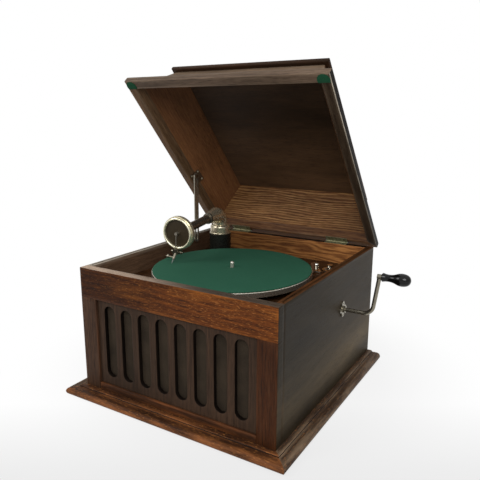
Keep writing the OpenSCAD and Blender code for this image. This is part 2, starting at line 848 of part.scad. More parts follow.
module governor_shaft() {
    color(STEEL) translate([0, governor_y, governor_z]) {
        rod_x(-24, governor_x1, 2.5);
        rod_x(-9, 9, worm_r);
        rod_x(22, 27, 6);
        rod_x(68, 73, 6);
        rod_x(disc_x - 3, disc_x, disc_r);
    }
}

// Three balls on leaf springs between the two collars
module governor_weights() {
    weight_r = 6.5;
    out = 11;
    color(BRASS) translate([0, governor_y, governor_z]) for (k = [0:2]) rotate([k * 120, 0, 0]) {
        translate([47.5, 0, out]) rod_x(-weight_r, weight_r, weight_r);
        for (end = [-1, 1]) translate([47.5, -2.5, out]) rotate([0, end * atan((out - 6.8) / 22), 0])
            translate([end > 0 ? 0 : -23, 0, -0.4]) cube([23, 5, 0.8]);
    }
}

// Turntable

module plate_outline(inset) {
    round_r = 1.5;
    r = table_d / 2 - inset;
    top = plate_z1 - inset;
    square_low = plate_z1 - table_rim_h - (inset > 0 ? cut : 0);
    translate([0, square_low]) square([r, top - round_r - square_low]);
    translate([0, square_low]) square([r - round_r, top - square_low]);
    translate([r - round_r, top - round_r]) circle(r = round_r);
}

// Pressed plate with a turned-down rim and a hub under its middle
module turntable() {
    color(NICKEL) translate([spindle_p[0], spindle_p[1], 0]) rotate_extrude($fn = 180) difference() {
        union() {
            difference() {
                plate_outline(0);
                plate_outline(table_t);
            }
            translate([0, plate_z1 - table_rim_h + 1]) square([16, table_rim_h - 1]);
        }
        translate([0, plate_z1 - 2 * table_rim_h]) square([spindle_d / 2 + 0.02, 3 * table_rim_h]);
    }
}

module turntable_felt() {
    color(FELT) translate([spindle_p[0], spindle_p[1], plate_z1]) difference() {
        cylinder(d = table_d - 3, h = felt_t, $fn = 180);
        translate([0, 0, -cut]) cylinder(d = spindle_d + 0.4, h = felt_t + 2 * cut);
    }
}

module turntable_spindle() {
    seat_z = plate_z1 - table_rim_h + 1;
    color(NICKEL) translate([spindle_p[0], spindle_p[1], 0]) {
        translate([0, 0, motor_z0]) cylinder(d = arbor_d, h = seat_z - motor_z0);
        cylinder_top = felt_z + spindle_up - spindle_d / 2;
        translate([0, 0, seat_z]) cylinder(d = spindle_d, h = cylinder_top - seat_z);
        translate([0, 0, cylinder_top]) sphere(d = spindle_d);
        translate([0, 0, wheel_z - 0.5]) rotate([0, 0, heading(spindle_p, middle_p)])
            gear(spindle_n, gear_h, 0);
        translate([0, 0, governor_z - 4]) gear_disc();
    }
}

// Worm wheel with slanted notches
module gear_disc() {
    difference() {
        cylinder(r = worm_wheel_r, h = 8);
        for (k = [0:worm_wheel_n - 1]) rotate([0, 0, k * 360 / worm_wheel_n])
            translate([worm_wheel_r - 1.5, 0, 4])
            rotate([20, 0, 0]) translate([0, -0.9, -8]) cube([4, 1.8, 16]);
    }
}

// Crank

module crank_rod() {
    pin_l = handle_l - 10;
    lap = 0.4;
    arm_len = (handle_z - arm_z0) / cos(crank_lean);
    bend_x = arm_x1 - bend_r * sin(bend_turn);
    color(NICKEL) translate([0, crank_y, crank_z]) {
        rod_x(shaft_x0, bend_x, rod_d / 2);
        translate([bend_x, 0, bend_r]) rotate([90, 0, 0]) rotate([0, 0, -90])
            rotate_extrude(angle = bend_turn)
            translate([bend_r, 0]) circle(d = rod_d);
        translate([arm_x1, 0, arm_z0 - crank_z]) rotate([0, crank_lean, 0])
            translate([0, 0, -lap]) cylinder(d = rod_d - lap / 10, h = arm_len + lap);
        translate([handle_x, 0, crank_throw]) {
            rod_x(-rod_d / 2, boss_x, rod_d / 2 + 1);
            rod_x(0, boss_x + pin_l, 2.5);
        }
        translate([barrel_p[0] + free_gap, 0, 0]) rotate([0, -90, 0])
            bevel(bevel_pinion_r, bevel_wheel_r, 12, 3, 4);
    }
}

// Turned handle: a ring, a hollow neck and a pear-shaped bulb with a round end, drilled for its pin
module crank_handle() {
    bulb = handle_d / 2;
    neck = 6.3;
    neck_at = 12;
    belly_r = 24;
    belly = belly_r - bulb;
    to_end = 15;
    bulb_at = handle_l - to_end;
    end_r = (belly_r * belly_r - belly * belly - to_end * to_end) / (2 * (belly_r - to_end));
    rise = bulb_at - neck_at;
    hollow_r = (pow(neck + belly, 2) + rise * rise - belly_r * belly_r) / (2 * (bulb - neck));
    share = belly_r / (belly_r + hollow_r);
    meet = [(neck + hollow_r + belly) * share - belly, bulb_at - rise * share];
    ring_t = 4;
    color(BLACK) translate([handle_x + boss_x + free_gap, crank_y, handle_z]) rotate([0, 90, 0])
        rotate_extrude()
        difference() {
            union() {
                square([neck - 0.6, ring_t]);
                translate([neck - 0.6, ring_t / 2]) circle(d = ring_t);
                difference() {
                    translate([0, 2]) square([meet[0], meet[1] - 2]);
                    translate([neck + hollow_r, neck_at]) circle(r = hollow_r);
                }
                intersection() {
                    translate([-belly, bulb_at]) circle(r = belly_r);
                    translate([0, meet[1]]) square([bulb + cut, bulb_at + to_end / 2 - meet[1]]);
                }
                intersection() {
                    translate([0, handle_l - end_r]) circle(r = end_r);
                    translate([0, bulb_at]) square([bulb, to_end + cut]);
                }
            }
            translate([0, -cut]) square([2.5 + run_fit, handle_l - 10 + cut + 0.6]);
        }
}

// Four-lobed plate with a bush through the side of the case
module crank_escutcheon() {
    plate = 2.5;
    color(NICKEL) translate([case_w / 2, crank_y, crank_z]) difference() {
        union() {
            rotate([0, 90, 0]) linear_extrude(plate) {
                circle(r = 9.5);
                for (k = [0:3]) rotate(k * 90) translate([9.5, 0]) circle(r = 5.5);
            }
            rod_x(-board_t, 7, rod_d / 2 + 2.5);
        }
        rod_x(-board_t - cut, 8, rod_d / 2 + run_fit);
    }
}

// Tone arm

module tone_arm_pedestal() {
    bore = elbow_r;
    flange = 4;
    color(BLACK) translate([-arm_x, arm_y, 0]) difference() {
        union() {
            translate([0, 0, board_z0]) cylinder(d = spigot_d - 0.4, h = motor_board_t);
            translate([0, 0, board_z1]) cylinder(r = pedestal_d / 2 + 9, h = flange);
            translate([0, 0, board_z1 + flange]) cylinder(d1 = pedestal_d + 3, d2 = pedestal_d, h = 10);
            translate([0, 0, board_z1 + flange]) cylinder(d = pedestal_d, h = pedestal_h - flange);
            translate([0, 0, pedestal_z1]) cylinder(d = spigot_d, h = spigot_h);
        }
        translate([0, 0, board_z0 - cut])
            cylinder(r = bore, h = motor_board_t + pedestal_h + spigot_h + 2 * cut);
    }
}

// Frame of the swinging arm: x runs out along the tube from the end of the elbow
module on_arm() {
    translate([-arm_x, arm_y, elbow_z]) rotate([0, 0, arm_yaw - 90]) translate([elbow_bend, 0, 0])
        rotate([0, arm_slope, 0]) translate([0, 0, elbow_bend]) children();
}

module elbow_sweep(r) {
    translate([-arm_x, arm_y, elbow_z]) rotate([0, 0, arm_yaw - 90]) translate([elbow_bend, 0, 0])
        rotate([90, 0, 0])
        rotate([0, 0, 90 - arm_slope]) rotate_extrude(angle = 90 + arm_slope) translate([elbow_bend, 0])
            circle(r = r);
}

// Collar section: a bead at the foot and a rounded shoulder up to the elbow
module collar_section() {
    foot = pedestal_d / 2 - 2;
    square([foot, collar_h - 6]);
    translate([0, 1.6]) square([foot, 1.6]);
    translate([foot, 2.2]) circle(r = 1.8);
    translate([foot - 6, collar_h - 6]) circle(r = 6);
    square([foot - 6, collar_h]);
    square([elbow_r + elbow_step, elbow_z + elbow_lap - pedestal_z1 - free_gap]);
}

module tone_arm_elbow() {
    low = pedestal_z1 + free_gap;
    bore_r = elbow_r - elbow_wall;
    color(NICKEL) difference() {
        union() {
            translate([-arm_x, arm_y, low]) rotate_extrude() collar_section();
            elbow_sweep(elbow_r);
            on_arm() translate([-elbow_lap, 0, 0]) rotate([0, 90, 0])
                cylinder(r1 = elbow_r + elbow_step, r2 = tube_r + 2.4, h = joint_s + elbow_lap);
        }
        translate([-arm_x, arm_y, low - cut]) cylinder(d = spigot_d + 2 * run_fit, h = spigot_h + 1 + cut);
        translate([-arm_x, arm_y, low]) cylinder(r = bore_r + elbow_step, h = elbow_z + elbow_lap - low);
        elbow_sweep(bore_r);
        on_arm() {
            translate([-elbow_lap, 0, 0]) rotate([0, 90, 0])
                cylinder(r1 = bore_r + elbow_step, r2 = tube_r + run_fit, h = joint_s - socket_l + elbow_lap);
            rod_x(joint_s - socket_l - 0.01, joint_s + cut, tube_r + run_fit);
        }
    }
}

neck_s = ring_s - 26;

module tone_arm_tube() {
    color(NICKEL) on_arm() difference() {
        union() {
            rod_x(joint_s - socket_l + 1, neck_s + 6, tube_r);
            rod_x(joint_s + free_gap, joint_s + 4, tube_r + 2.8);
        }
        rod_x(joint_s - socket_l, ring_s, tube_r - 1.4);
    }
}

// Frame of the sound box: x runs out of its face, z up along the stylus bar
module in_box() {
    on_arm() translate([ring_s, 0, 0]) rotate([-stylus_slant, 0, 0]) children();
}

// A solid of revolution about the axis of the sound box; the section's y runs out of the face
module box_turned() {
    in_box() rotate([0, 90, 0]) rotate_extrude($fn = 128) children();
}

ring_r = sound_r - 1.7;
ring_in = ring_r - 4.5;
ring_t = 5;

module sound_box_shell() {
    color(NICKEL) box_turned() difference() {
        union() {
            translate([0, -26]) square([tube_r + 3, 10]);
            translate([0, -17]) square([sound_r - 9, 6]);
            translate([sound_r - 9, -12]) circle(r = 5);
            translate([0, -14]) square([sound_r - 1.2, 14 - ring_t]);
            for (z = [-12.5, -9.5, -6.5]) translate([0, z - 1]) square([sound_r, 2]);
        }
        translate([0, -27]) square([tube_r, 30]);
        translate([0, -13]) square([sound_r - 3.5, 14]);
        translate([-sound_d, -40]) square([sound_d, 60]);
    }
}

module sound_box_ring() {
    w = ring_r - ring_in;
    color("#dcd8b8") box_turned() {
        translate([ring_in, -ring_t]) square([w, ring_t - w / 2]);
        translate([ring_in + w / 2, -w / 2]) circle(d = w);
    }
}

module sound_box_diaphragm() {
    color("#3a3428") in_box() rod_x(-ring_t - 0.8, -ring_t, sound_r - 3.7);
}

// Bar from the middle of the diaphragm down over the ring to the needle holder
module stylus_bar() {
    bar_x = 0.6;
    color(NICKEL) in_box() {
        rod_x(-ring_t, bar_x + 2.4, 3.2);
        board([bar_x, -0.9, -sound_r - 2], [bar_x + 1.6, 0.9, 0]);
    }
}

holder_z = -sound_r - 5;
needle_turn = 42;

// Block under the sound box with its two pivot screws, the needle socket and a thumbscrew
module needle_holder() {
    color(NICKEL) in_box() difference() {
        union() {
            board([-12, -5.5, holder_z - 3], [4, 5.5, -sound_r + 2]);
            translate([-4, 0, holder_z]) rotate([0, 0, 90]) {
                rod_x(-13, 13, 1.6);
                for (end = [-1, 1]) rod_x(end * 9 - 1.5, end * 9 + 1.5, 3.4);
            }
            translate([0, 0, holder_z]) rotate([0, 180 - needle_turn, 0]) cylinder(r = 2.8, h = 15);
            translate([8, 0, holder_z - 8]) rotate([0, 0, 90]) {
                rod_x(-12, 0, 1.4);
                rod_x(-15, -11, 3.2);
            }
        }
        rod_x(-30, 0.4, sound_r + 0.05);
        board([0.4, -1.3, -sound_r - 2.1], [2.4, 1.3, 0]);
        translate([0, 0, holder_z]) rotate([0, 180 - needle_turn, 0]) translate([0, 0, 6])
            cylinder(r = 0.8, h = 20);
    }
}

module needle() {
    tip_l = 24.5;
    color(STEEL) in_box() translate([0, 0, holder_z]) rotate([0, 180 - needle_turn, 0]) {
        translate([0, 0, 6]) cylinder(r = 0.8, h = tip_l - 10);
        translate([0, 0, tip_l - 4]) cylinder(r1 = 0.8, r2 = 0.2, h = 4);
    }
}

// Brake and speed regulator

brake_turn = heading(brake_p, spindle_p) + 45;
brake_l = norm(brake_p - spindle_p) - table_d / 2 - 6;
brake_z = board_z1 + 3;

module brake_plate() {
    color(NICKEL) translate([brake_p[0], brake_p[1], board_z1]) {
        linear_extrude(2) for (k = [0:2]) rotate(brake_turn + 120 * k + 60) {
            circle(r = 9);
            translate([11, 0]) circle(r = 4);
        }
        cylinder(d = 5, h = 12);
    }
}

module brake_lever() {
    color(NICKEL) translate([brake_p[0], brake_p[1], brake_z]) difference() {
        union() {
            rotate([0, 0, brake_turn]) link([0, 0], [brake_l, 0], 9, 3);
            cylinder(d = 10, h = 7);
            translate([0, 0, 9]) intersection() {
                sphere(r = 6.5);
                translate([0, 0, -2.5]) cylinder(r = 7, h = 10);
            }
        }
        translate([0, 0, -cut]) cylinder(d = 5 + 2 * run_fit, h = 10.6);
    }
}

module brake_pad() {
    color("#5a3a22") translate([brake_p[0], brake_p[1], brake_z + 3]) rotate([0, 0, brake_turn])
        translate([brake_l, 0, 0]) cylinder(r = 4.5, h = plate_z1 - 2 - brake_z - 3);
}

module speed_dial() {
    color(NICKEL) translate([dial_p[0], dial_p[1], board_z1]) difference() {
        union() {
            cylinder(r = 15, h = 1.6);
            cylinder(r = 6, h = 3);
        }
        translate([0, 0, -cut]) cylinder(d = speed_shaft_d + 2 * run_fit, h = 5);
    }
}

pad_p = [disc_x + 5, governor_y];
arm_low = governor_z + 8;

// Pointer over the dial, on a shaft whose long arm bears on the governor disc
module speed_regulator() {
    color(NICKEL) translate([0, 0, 0]) {
        translate([dial_p[0], dial_p[1], arm_low]) cylinder(d = speed_shaft_d, h = board_z1 + 10 - arm_low);
        translate([0, 0, board_z1 + 4]) link(dial_p, dial_p + 13 * [-0.3, -0.95], 6, 3);
        translate([dial_p[0], dial_p[1], board_z1 + 4]) cylinder(d = 11, h = 7);
        translate([0, 0, arm_low]) link(dial_p, pad_p, 8, 3);
        translate([disc_x + free_gap, pad_p[1], arm_low + 1.5]) rod_x(0, 5, 3);
    }
}

base_moulding();
bottom_board();
left_side();
right_side();
back_panel();
front_top_rail();
front_bottom_rail();
front_stiles();
grille_panel();
grille_cloth();
motor_board();
motor_board_cleats();
horn();
horn_throat();
tone_arm_pedestal();
motor_plates();
motor_pillars();
motor_bolts();
motor_bushes();
motor_bearings();
crank_escutcheon();
hinge_case_leaves();
hinge_pins();
stay_stud();
brake_plate();
speed_dial();
lid_rim();
lid_boards();
lid_top_panel();
lid_pads();
hinge_lid_leaves();
stay_bracket();
lid_stay();
turntable();
turntable_felt();
turntable_spindle();
spring_barrel();
barrel_cover();
mainspring();
winding_arbor();
middle_arbor();
governor_shaft();
governor_weights();
crank_rod();
crank_handle();
tone_arm_elbow();
tone_arm_tube();
sound_box_shell();
sound_box_ring();
sound_box_diaphragm();
stylus_bar();
needle_holder();
needle();
brake_lever();
brake_pad();
speed_regulator();
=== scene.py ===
# %% [markdown]
# A table gramophone in a fumed oak case, with its lid open. The shapes of the parts come from the packed
# CAD model, in metres and in one frame: the front is -Y, the crank is at +X and the table is z = 0. This
# script gives each part its finish and adds what is too fine for the solids: eased edges, cloth, felt and
# screws.

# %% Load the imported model
import json
import math
import bpy
from mathutils import Matrix, Quaternion, Vector

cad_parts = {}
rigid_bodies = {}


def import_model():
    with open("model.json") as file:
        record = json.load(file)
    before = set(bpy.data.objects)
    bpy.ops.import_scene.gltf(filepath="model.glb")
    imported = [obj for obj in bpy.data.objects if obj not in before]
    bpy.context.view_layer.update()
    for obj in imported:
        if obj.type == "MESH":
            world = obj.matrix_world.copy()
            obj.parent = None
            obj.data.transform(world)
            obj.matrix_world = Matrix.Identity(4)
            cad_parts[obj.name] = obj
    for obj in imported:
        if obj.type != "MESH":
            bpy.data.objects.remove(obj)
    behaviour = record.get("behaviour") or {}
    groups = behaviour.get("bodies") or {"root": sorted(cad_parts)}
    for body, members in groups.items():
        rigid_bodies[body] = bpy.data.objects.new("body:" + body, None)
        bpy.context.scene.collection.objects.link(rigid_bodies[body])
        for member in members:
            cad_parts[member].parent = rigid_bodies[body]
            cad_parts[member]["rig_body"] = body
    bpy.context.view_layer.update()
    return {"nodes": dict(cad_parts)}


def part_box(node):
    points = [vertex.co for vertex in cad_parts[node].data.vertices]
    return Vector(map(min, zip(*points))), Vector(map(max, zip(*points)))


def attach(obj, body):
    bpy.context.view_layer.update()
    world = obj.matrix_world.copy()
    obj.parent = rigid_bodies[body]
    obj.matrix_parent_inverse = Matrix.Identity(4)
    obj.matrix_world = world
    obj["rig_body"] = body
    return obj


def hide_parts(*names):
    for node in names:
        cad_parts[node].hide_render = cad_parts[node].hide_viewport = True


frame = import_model()
nodes = frame["nodes"]
print("parts loaded:", len(nodes))

# %% [markdown]
# The camera was found by matching the corners of the case. A 40 mm lens on a 36 mm sensor stands about a
# metre away, 31 degrees round to the right, and looks down by 13 degrees. It could be aimed by a
# constraint, but plain angles can be read and changed one at a time.

# %% Camera
MM = 0.001
CAMERA_AT = (527.08 * MM, -856.21 * MM, 508.01 * MM)
AZIMUTH, PITCH, ROLL = 31.36, 12.92, -0.10
LENS = 40.34
bpy.ops.object.select_all(action="DESELECT")
bpy.ops.object.camera_add(location=CAMERA_AT,
                          rotation=[math.radians(a) for a in (90 - PITCH, ROLL, AZIMUTH)])
camera = bpy.context.object
camera.data.lens = LENS
camera.data.clip_start = 10 * MM
scene = bpy.context.scene
scene.camera = camera
scene.view_settings.view_transform = "Standard"
print("camera lens:", round(camera.data.lens, 2), "mm")

# %% [markdown]
# Every finish is a node material, made from noise and waves instead of pictures, so it stays sharp from any
# distance. Four helpers keep the recipes short: one turns an sRGB hex colour into the linear numbers that
# shaders use, one adds a node with its settings, values and links, one starts a material, and one fills a
# colour ramp.

# %% Material helpers
def linear(text):
    parts = [int(text[i:i + 2], 16) / 255 for i in (1, 3, 5)]
    return [p / 12.92 if p <= 0.04045 else ((p + 0.055) / 1.055) ** 2.4 for p in parts] + [1.0]


def add(tree, kind, values=None, links=None, **settings):
    made = tree.nodes.new("ShaderNode" + kind)
    for name, value in settings.items():
        setattr(made, name, value)
    for socket, value in (values or {}).items():
        made.inputs[socket].default_value = value
    for socket, source in (links or {}).items():
        tree.links.new(source, made.inputs[socket])
    return made


def start_finish(name, **values):
    material = bpy.data.materials.new(name)
    material.use_nodes = True
    tree = material.node_tree
    tree.nodes.clear()
    shader = add(tree, "BsdfPrincipled", values)
    add(tree, "OutputMaterial", links={"Surface": shader.outputs[0]})
    return material, tree, shader


def set_ramp(made, stops):
    ramp = made.color_ramp
    while len(ramp.elements) < len(stops):
        ramp.elements.new(0.5)
    for element, (place, colour) in zip(ramp.elements, stops):
        element.position = place
        element.color = linear(colour) if isinstance(colour, str) else (colour, colour, colour, 1)
    return made.outputs["Color"]


print("helpers ready")

# %% [markdown]
# The case is fumed oak under old shellac. Oak shows growth rings as arched or straight bands, long fibres,
# short dark pores filled with dirt and, on boards sawn across the rings, pale ray flecks. The bands are
# rings round a point far along the board, drawn out along the grain, so that they cross the face as arches.
# Pictures of boards could be used instead, but they would repeat and blur. The pores are really 0.3 mm wide
# and are drawn 1 mm wide here, which is as fine as the picture shows.

# %% Figure of the oak
# Length and width of each mark in millimetres, and its detail
GRAIN = {"coarse": (150, 4.0, 3), "fibre": (40, 1.8, 3), "short": (15, 1.1, 2), "stain": (200, 60, 3),
         "patch": (90, 13, 5), "pore": (20, 1.0, 1), "ray": (9, 2.2, 1), "chip": (6, 1.3, 3)}
# A wave texture of scale 1 repeats after this many metres
WAVE = 0.314
# Shrinking the first coordinate draws the rings out along the grain
DRAW_OUT = (0.09, 1.0, 1.0)


def wood_figure(tree, grain, ring, arch, sway, absent):
    noise = {}
    for key, (along, across, detail) in {**GRAIN, "sway": (sway[0], sway[1], 2)}.items():
        if key not in absent:
            scale = (1 / (along * MM), 1 / (across * MM), 1 / (across * MM))
            point = add(tree, "VectorMath", {1: scale}, {0: grain}, operation="MULTIPLY").outputs[0]
            noise[key] = add(tree, "TexNoise", {"Scale": 1.0, "Detail": detail, "Roughness": 0.6},
                             {"Vector": point}).outputs
    # The rings are shifted sideways where the tree swayed
    drift = add(tree, "VectorMath", {1: (0.5, 0.5, 0.5)}, {0: noise["sway"]["Color"]},
                operation="SUBTRACT").outputs[0]
    bent = add(tree, "VectorMath", {1: (0.0, sway[2] * MM, sway[2] * MM)}, {0: drift, 2: grain},
               operation="MULTIPLY_ADD").outputs[0]
    rings = add(tree, "VectorMath", {1: DRAW_OUT}, {0: bent}, operation="MULTIPLY").outputs[0]
    shape = {"Scale": WAVE / (ring * MM), "Distortion": 2.2, "Detail": 2.0, "Detail Scale": 1.5}
    bands = add(tree, "TexWave", shape, {"Vector": rings}, wave_type="RINGS",
                rings_direction="SPHERICAL").outputs["Fac"]
    # Fibres of three lengths and the rings add up to the figure
    figure = add(tree, "Math", {1: 0.2}, {0: noise["coarse"]["Fac"]}, operation="MULTIPLY").outputs[0]
    for source, share in ((noise["fibre"]["Fac"], 0.42), (noise["short"]["Fac"], 0.28), (bands, arch)):
        figure = add(tree, "Math", {1: share}, {0: source, 2: figure}, operation="MULTIPLY_ADD").outputs[0]
    return noise, bands, figure


print("marks in the oak:", len(GRAIN))

# %% [markdown]
# Over the figure lie stains, pores, flecks and chips. Handling has worn the polish through in long patches,
# and edges rub pale: the boards carry an attribute named edge that says where; on some boards that pale
# edge is partly painted highlight. Most boards are darker towards one end, and on several boards this is
# painted light and shade; fade lists how: (axis, from, to, first, last). Each board could be painted by
# hand, but one recipe with a few numbers per board keeps them looking like one timber. To the eye it is a
# dull, streaky brown with hardly any shine, so the specular level is low.

# %% Oak
PORE_DIRT, BARE_CHIP = "#1a0e07", "#b97a40"
OAK_ROUGH, OAK_SHINE = 0.5, 0.09


def oak(name, dark, mid, light, turn, heart=(0.1, 0.05, 0.03), ring=9, arch=0.05, flecks=0.0, bare=0.0,
        rubbed="#8a5028", rub=0.25, blotch=0.3, spread=0.13, fade=(), sway=(260, 70, 34), sparks=0.0):
    material, tree, shader = start_finish(name, **{"Specular IOR Level": OAK_SHINE})
    place = add(tree, "TexCoord").outputs["Object"]
    grain = add(tree, "Mapping", {"Rotation": [math.radians(a) for a in turn], "Location": heart},
                {"Vector": place}).outputs[0]
    absent = [key for key, amount in (("ray", flecks), ("chip", sparks)) if not amount]
    noise, bands, figure = wood_figure(tree, grain, ring, arch, sway, absent)
    centre = 0.45 + arch / 2
    colour = set_ramp(add(tree, "ValToRGB", links={"Fac": figure}),
                      [(centre - spread, dark), (centre, mid), (centre + spread, light)])
    stain = add(tree, "MapRange", {"From Min": 0.3, "From Max": 0.7, "To Min": 1 - blotch,
                                   "To Max": 1 + blotch}, {"Value": noise["stain"]["Fac"]}).outputs[0]
    colour = add(tree, "VectorMath", links={0: colour, 1: stain}, operation="MULTIPLY").outputs[0]

    # Each mark: its noise, where that begins and ends, how strong it is, what weakens it, and its colour
    depth = add(tree, "MapRange", {"To Min": 0.6, "To Max": 0.25}, {"Value": bands}).outputs[0]
    edge = add(tree, "Attribute", attribute_name="edge").outputs["Fac"]
    masks = {}
    for key, source, begin, end, most, weaken, tone in (
            ("worn", "patch", 0.5, 0.7, bare, None, rubbed),
            ("pore", "pore", 0.56, 0.66, 1.0, depth, PORE_DIRT),
            ("ray", "ray", 0.58, 0.68, flecks, None, rubbed),
            ("chip", "chip", 0.57, 0.68, sparks, noise["patch"]["Fac"], BARE_CHIP),
            ("edge", "patch", 0.4, 0.62, rub, edge, rubbed)):
        if most:
            mask = set_ramp(add(tree, "ValToRGB", links={"Fac": noise[source]["Fac"]}),
                            [(begin, 0.0), (end, most)])
            if weaken is not None:
                mask = add(tree, "Math", links={0: mask, 1: weaken}, operation="MULTIPLY").outputs[0]
            colour = add(tree, "Mix", {7: linear(tone)}, {0: mask, 6: colour}, data_type="RGBA").outputs[2]
            masks[key] = mask
    # On several boards the fade paints light and shade
    for axis, begin, end, first, last in fade:
        along = add(tree, "SeparateXYZ", links={"Vector": place}).outputs[axis]
        dim = add(tree, "MapRange", {"From Min": begin, "From Max": end, "To Min": first, "To Max": last},
                  {"Value": along}, interpolation_type="SMOOTHSTEP").outputs[0]
        colour = add(tree, "VectorMath", links={0: colour, 1: dim}, operation="MULTIPLY").outputs[0]
    tree.links.new(colour, shader.inputs["Base Color"])

    # Fibres dull the surface, and pores sink into it
    fibre = noise["fibre"]["Fac"]
    dull = add(tree, "MapRange", {"To Min": OAK_ROUGH - 0.1, "To Max": OAK_ROUGH + 0.12},
               {"Value": fibre}).outputs[0]
    tree.links.new(dull, shader.inputs["Roughness"])
    height = add(tree, "Math", {1: -1.0}, {0: masks["pore"], 2: fibre}, operation="MULTIPLY_ADD").outputs[0]
    bump = add(tree, "Bump", {"Strength": 0.35, "Distance": 0.4 * MM}, {"Height": height}).outputs[0]
    tree.links.new(bump, shader.inputs["Normal"])
    return material


print("oak recipe ready, shine:", OAK_SHINE)

# %% [markdown]
# Real boards never have knife edges. Each wooden part is copied from the CAD part, its loose triangles are
# merged, its edges are eased with a bevel, and its faces get an inset border. The border's outer points
# carry the attribute edge = 1 and the inner ones 0, so a finish can rub pale towards the corners. The same
# could be painted by hand as vertex colours, but an inset gives the same border on every board.

# %% Helpers for shaping
def pick(one):
    bpy.ops.object.select_all(action="DESELECT")
    one.select_set(True)
    bpy.context.view_layer.objects.active = one


def select_faces(one, test):
    bpy.ops.object.mode_set(mode="EDIT")
    bpy.ops.mesh.select_mode(type="FACE")
    bpy.ops.mesh.select_all(action="DESELECT")
    bpy.ops.object.mode_set(mode="OBJECT")
    for face in one.data.polygons:
        face.select = test(face)
    bpy.ops.object.mode_set(mode="EDIT")


def apply_modifier(one, kind, **settings):
    made = one.modifiers.new(kind.lower(), kind)
    for name, value in settings.items():
        setattr(made, name, value)
    pick(one)
    bpy.ops.object.modifier_apply(modifier=made.name)


def add_border(one, border, flat):
    select_faces(one, lambda face: face.area > flat)
    bpy.ops.mesh.inset(thickness=border * MM, use_even_offset=True)
    bpy.ops.object.mode_set(mode="OBJECT")
    inner = {v for face in one.data.polygons if face.select for v in face.vertices}
    attribute = one.data.attributes.new("edge", "FLOAT", "POINT")
    attribute.data.foreach_set("value", [0.0 if i in inner else 1.0 for i in range(len(one.data.vertices))])


print("shaping helpers ready")

# %% [markdown]
# A CAD part can hold several lengths of wood, so the copy is taken apart into loose pieces, sorted from
# left to right. Only faces larger than flat, in square metres, get a border. The side with the crank's hole
# is planed from a block instead and drilled last, because an inset spoils a face that has a hole in it.

# %% Eased copies of the wooden parts
FLAT = 0.0006
SMOOTH = math.radians(35)


def middle(one):
    points = [v.co for v in one.data.vertices]
    return sum(p.x for p in points) / len(points)


def stand_for(one, node):
    bpy.ops.object.shade_smooth_by_angle(angle=SMOOTH)
    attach(one, nodes[node]["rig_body"])
    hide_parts(node)


def eased(node, ease, border, flat=FLAT, kind="wood"):
    pick(nodes[node])
    bpy.ops.object.duplicate()
    copy = bpy.context.object
    copy.parent = None
    for key in list(copy.keys()):
        del copy[key]
    copy.name = node + "_" + kind
    bpy.ops.object.mode_set(mode="EDIT")
    bpy.ops.mesh.select_all(action="SELECT")
    bpy.ops.mesh.remove_doubles(threshold=2e-6)
    bpy.ops.mesh.dissolve_limited(angle_limit=math.radians(0.5))
    bpy.ops.mesh.separate(type="LOOSE")
    bpy.ops.object.mode_set(mode="OBJECT")
    made = list(bpy.context.selected_objects)
    for one in made:
        apply_modifier(one, "BEVEL", width=ease * MM, segments=2, limit_method="ANGLE",
                       angle_limit=math.radians(38))
        if border:
            add_border(one, border, flat)
        stand_for(one, node)
    return sorted(made, key=middle)


def plank(node, ease, border, hole, hole_r):
    low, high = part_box(node)
    bpy.ops.object.select_all(action="DESELECT")
    bpy.ops.mesh.primitive_cube_add(size=1, location=(low + high) / 2, scale=high - low)
    board = bpy.context.object
    board.name = node + "_wood"
    bpy.ops.object.transform_apply()
    apply_modifier(board, "BEVEL", width=ease * MM, segments=2)
    add_border(board, border, FLAT)
    bpy.ops.object.select_all(action="DESELECT")
    bpy.ops.mesh.primitive_cylinder_add(vertices=48, radius=hole_r, depth=100 * MM, location=hole,
                                        rotation=(0, math.radians(90), 0))
    drill = bpy.context.object
    apply_modifier(board, "BOOLEAN", object=drill)
    bpy.data.objects.remove(drill)
    stand_for(board, node)
    return board


def paint(one, material):
    one.data.materials.clear()
    one.data.materials.append(material)


def repaint(one, material, test):
    one.data.materials.append(material)
    index = len(one.data.materials) - 1
    for face in one.data.polygons:
        if test(face):
            face.material_index = index


print("easing ready")

# %% [markdown]
# The front is a frame of straight-grained oak round a darker slotted panel. The long rail lies across, the
# uprights stand, so the grain is turned to follow the length of each board. One finish could serve the
# whole front, but each board gets its own heart point, so no two show the same bands. The rail is painted
# darker towards its left end, as shade, so that its right end looks a warm orange. Some faces of one board
# take a second finish: painted shade on the walls of the slots, and painted light on the top faces.

# %% Front frame
ACROSS, UPRIGHT, BACKWARD = (0, 0, 0), (0, 90, 0), (0, 0, -90)
rail = eased("front_top_rail", ease=0.35, border=6)[0]
# The fade paints the rail darker towards its left end, as shade
paint(rail, oak("fumed oak with painted shade, top rail", "#2e1305", "#51290e", "#764016", ACROSS, ring=7, arch=0.06,
                heart=(0.35, 0.26, -0.16), bare=0.5, rub=0.35, rubbed="#96571f", spread=0.15, sparks=0.8,
                fade=[(0, -0.2, 0.1, 0.34, 0.98)]))
# Painted light: the top faces are pale, as lit from above, and darker towards the right end
lit_rail_top = oak("painted light on the top of the rail", "#7f6b5a", "#978270", "#ae9985", ACROSS, rub=0.0,
               fade=[(0, -0.2, 0.1, 1.15, 0.22)])
repaint(rail, lit_rail_top, lambda face: face.normal.z > 0.7)
stiles = eased("front_stiles", ease=0.3, border=5)
for side, (mid, light) in enumerate((("#3c291d", "#4b3526"), ("#3a1e0d", "#432a19"))):
    paint(stiles[side], oak("fumed oak, upright %d" % side, "#22150d", mid, light, UPRIGHT, rub=0.1, ring=6,
                            heart=(0.2, 0.24, 0.1 + 0.33 * side)))
bottom_rail = eased("front_bottom_rail", ease=1.0, border=4)[0]
paint(bottom_rail, oak("fumed oak, bottom rail", "#22130a", "#362013", "#4c2d18", ACROSS,
                       heart=(0.6, 0.25, 0.1), bare=0.2))
print("frame pieces:", 2 + len(stiles))
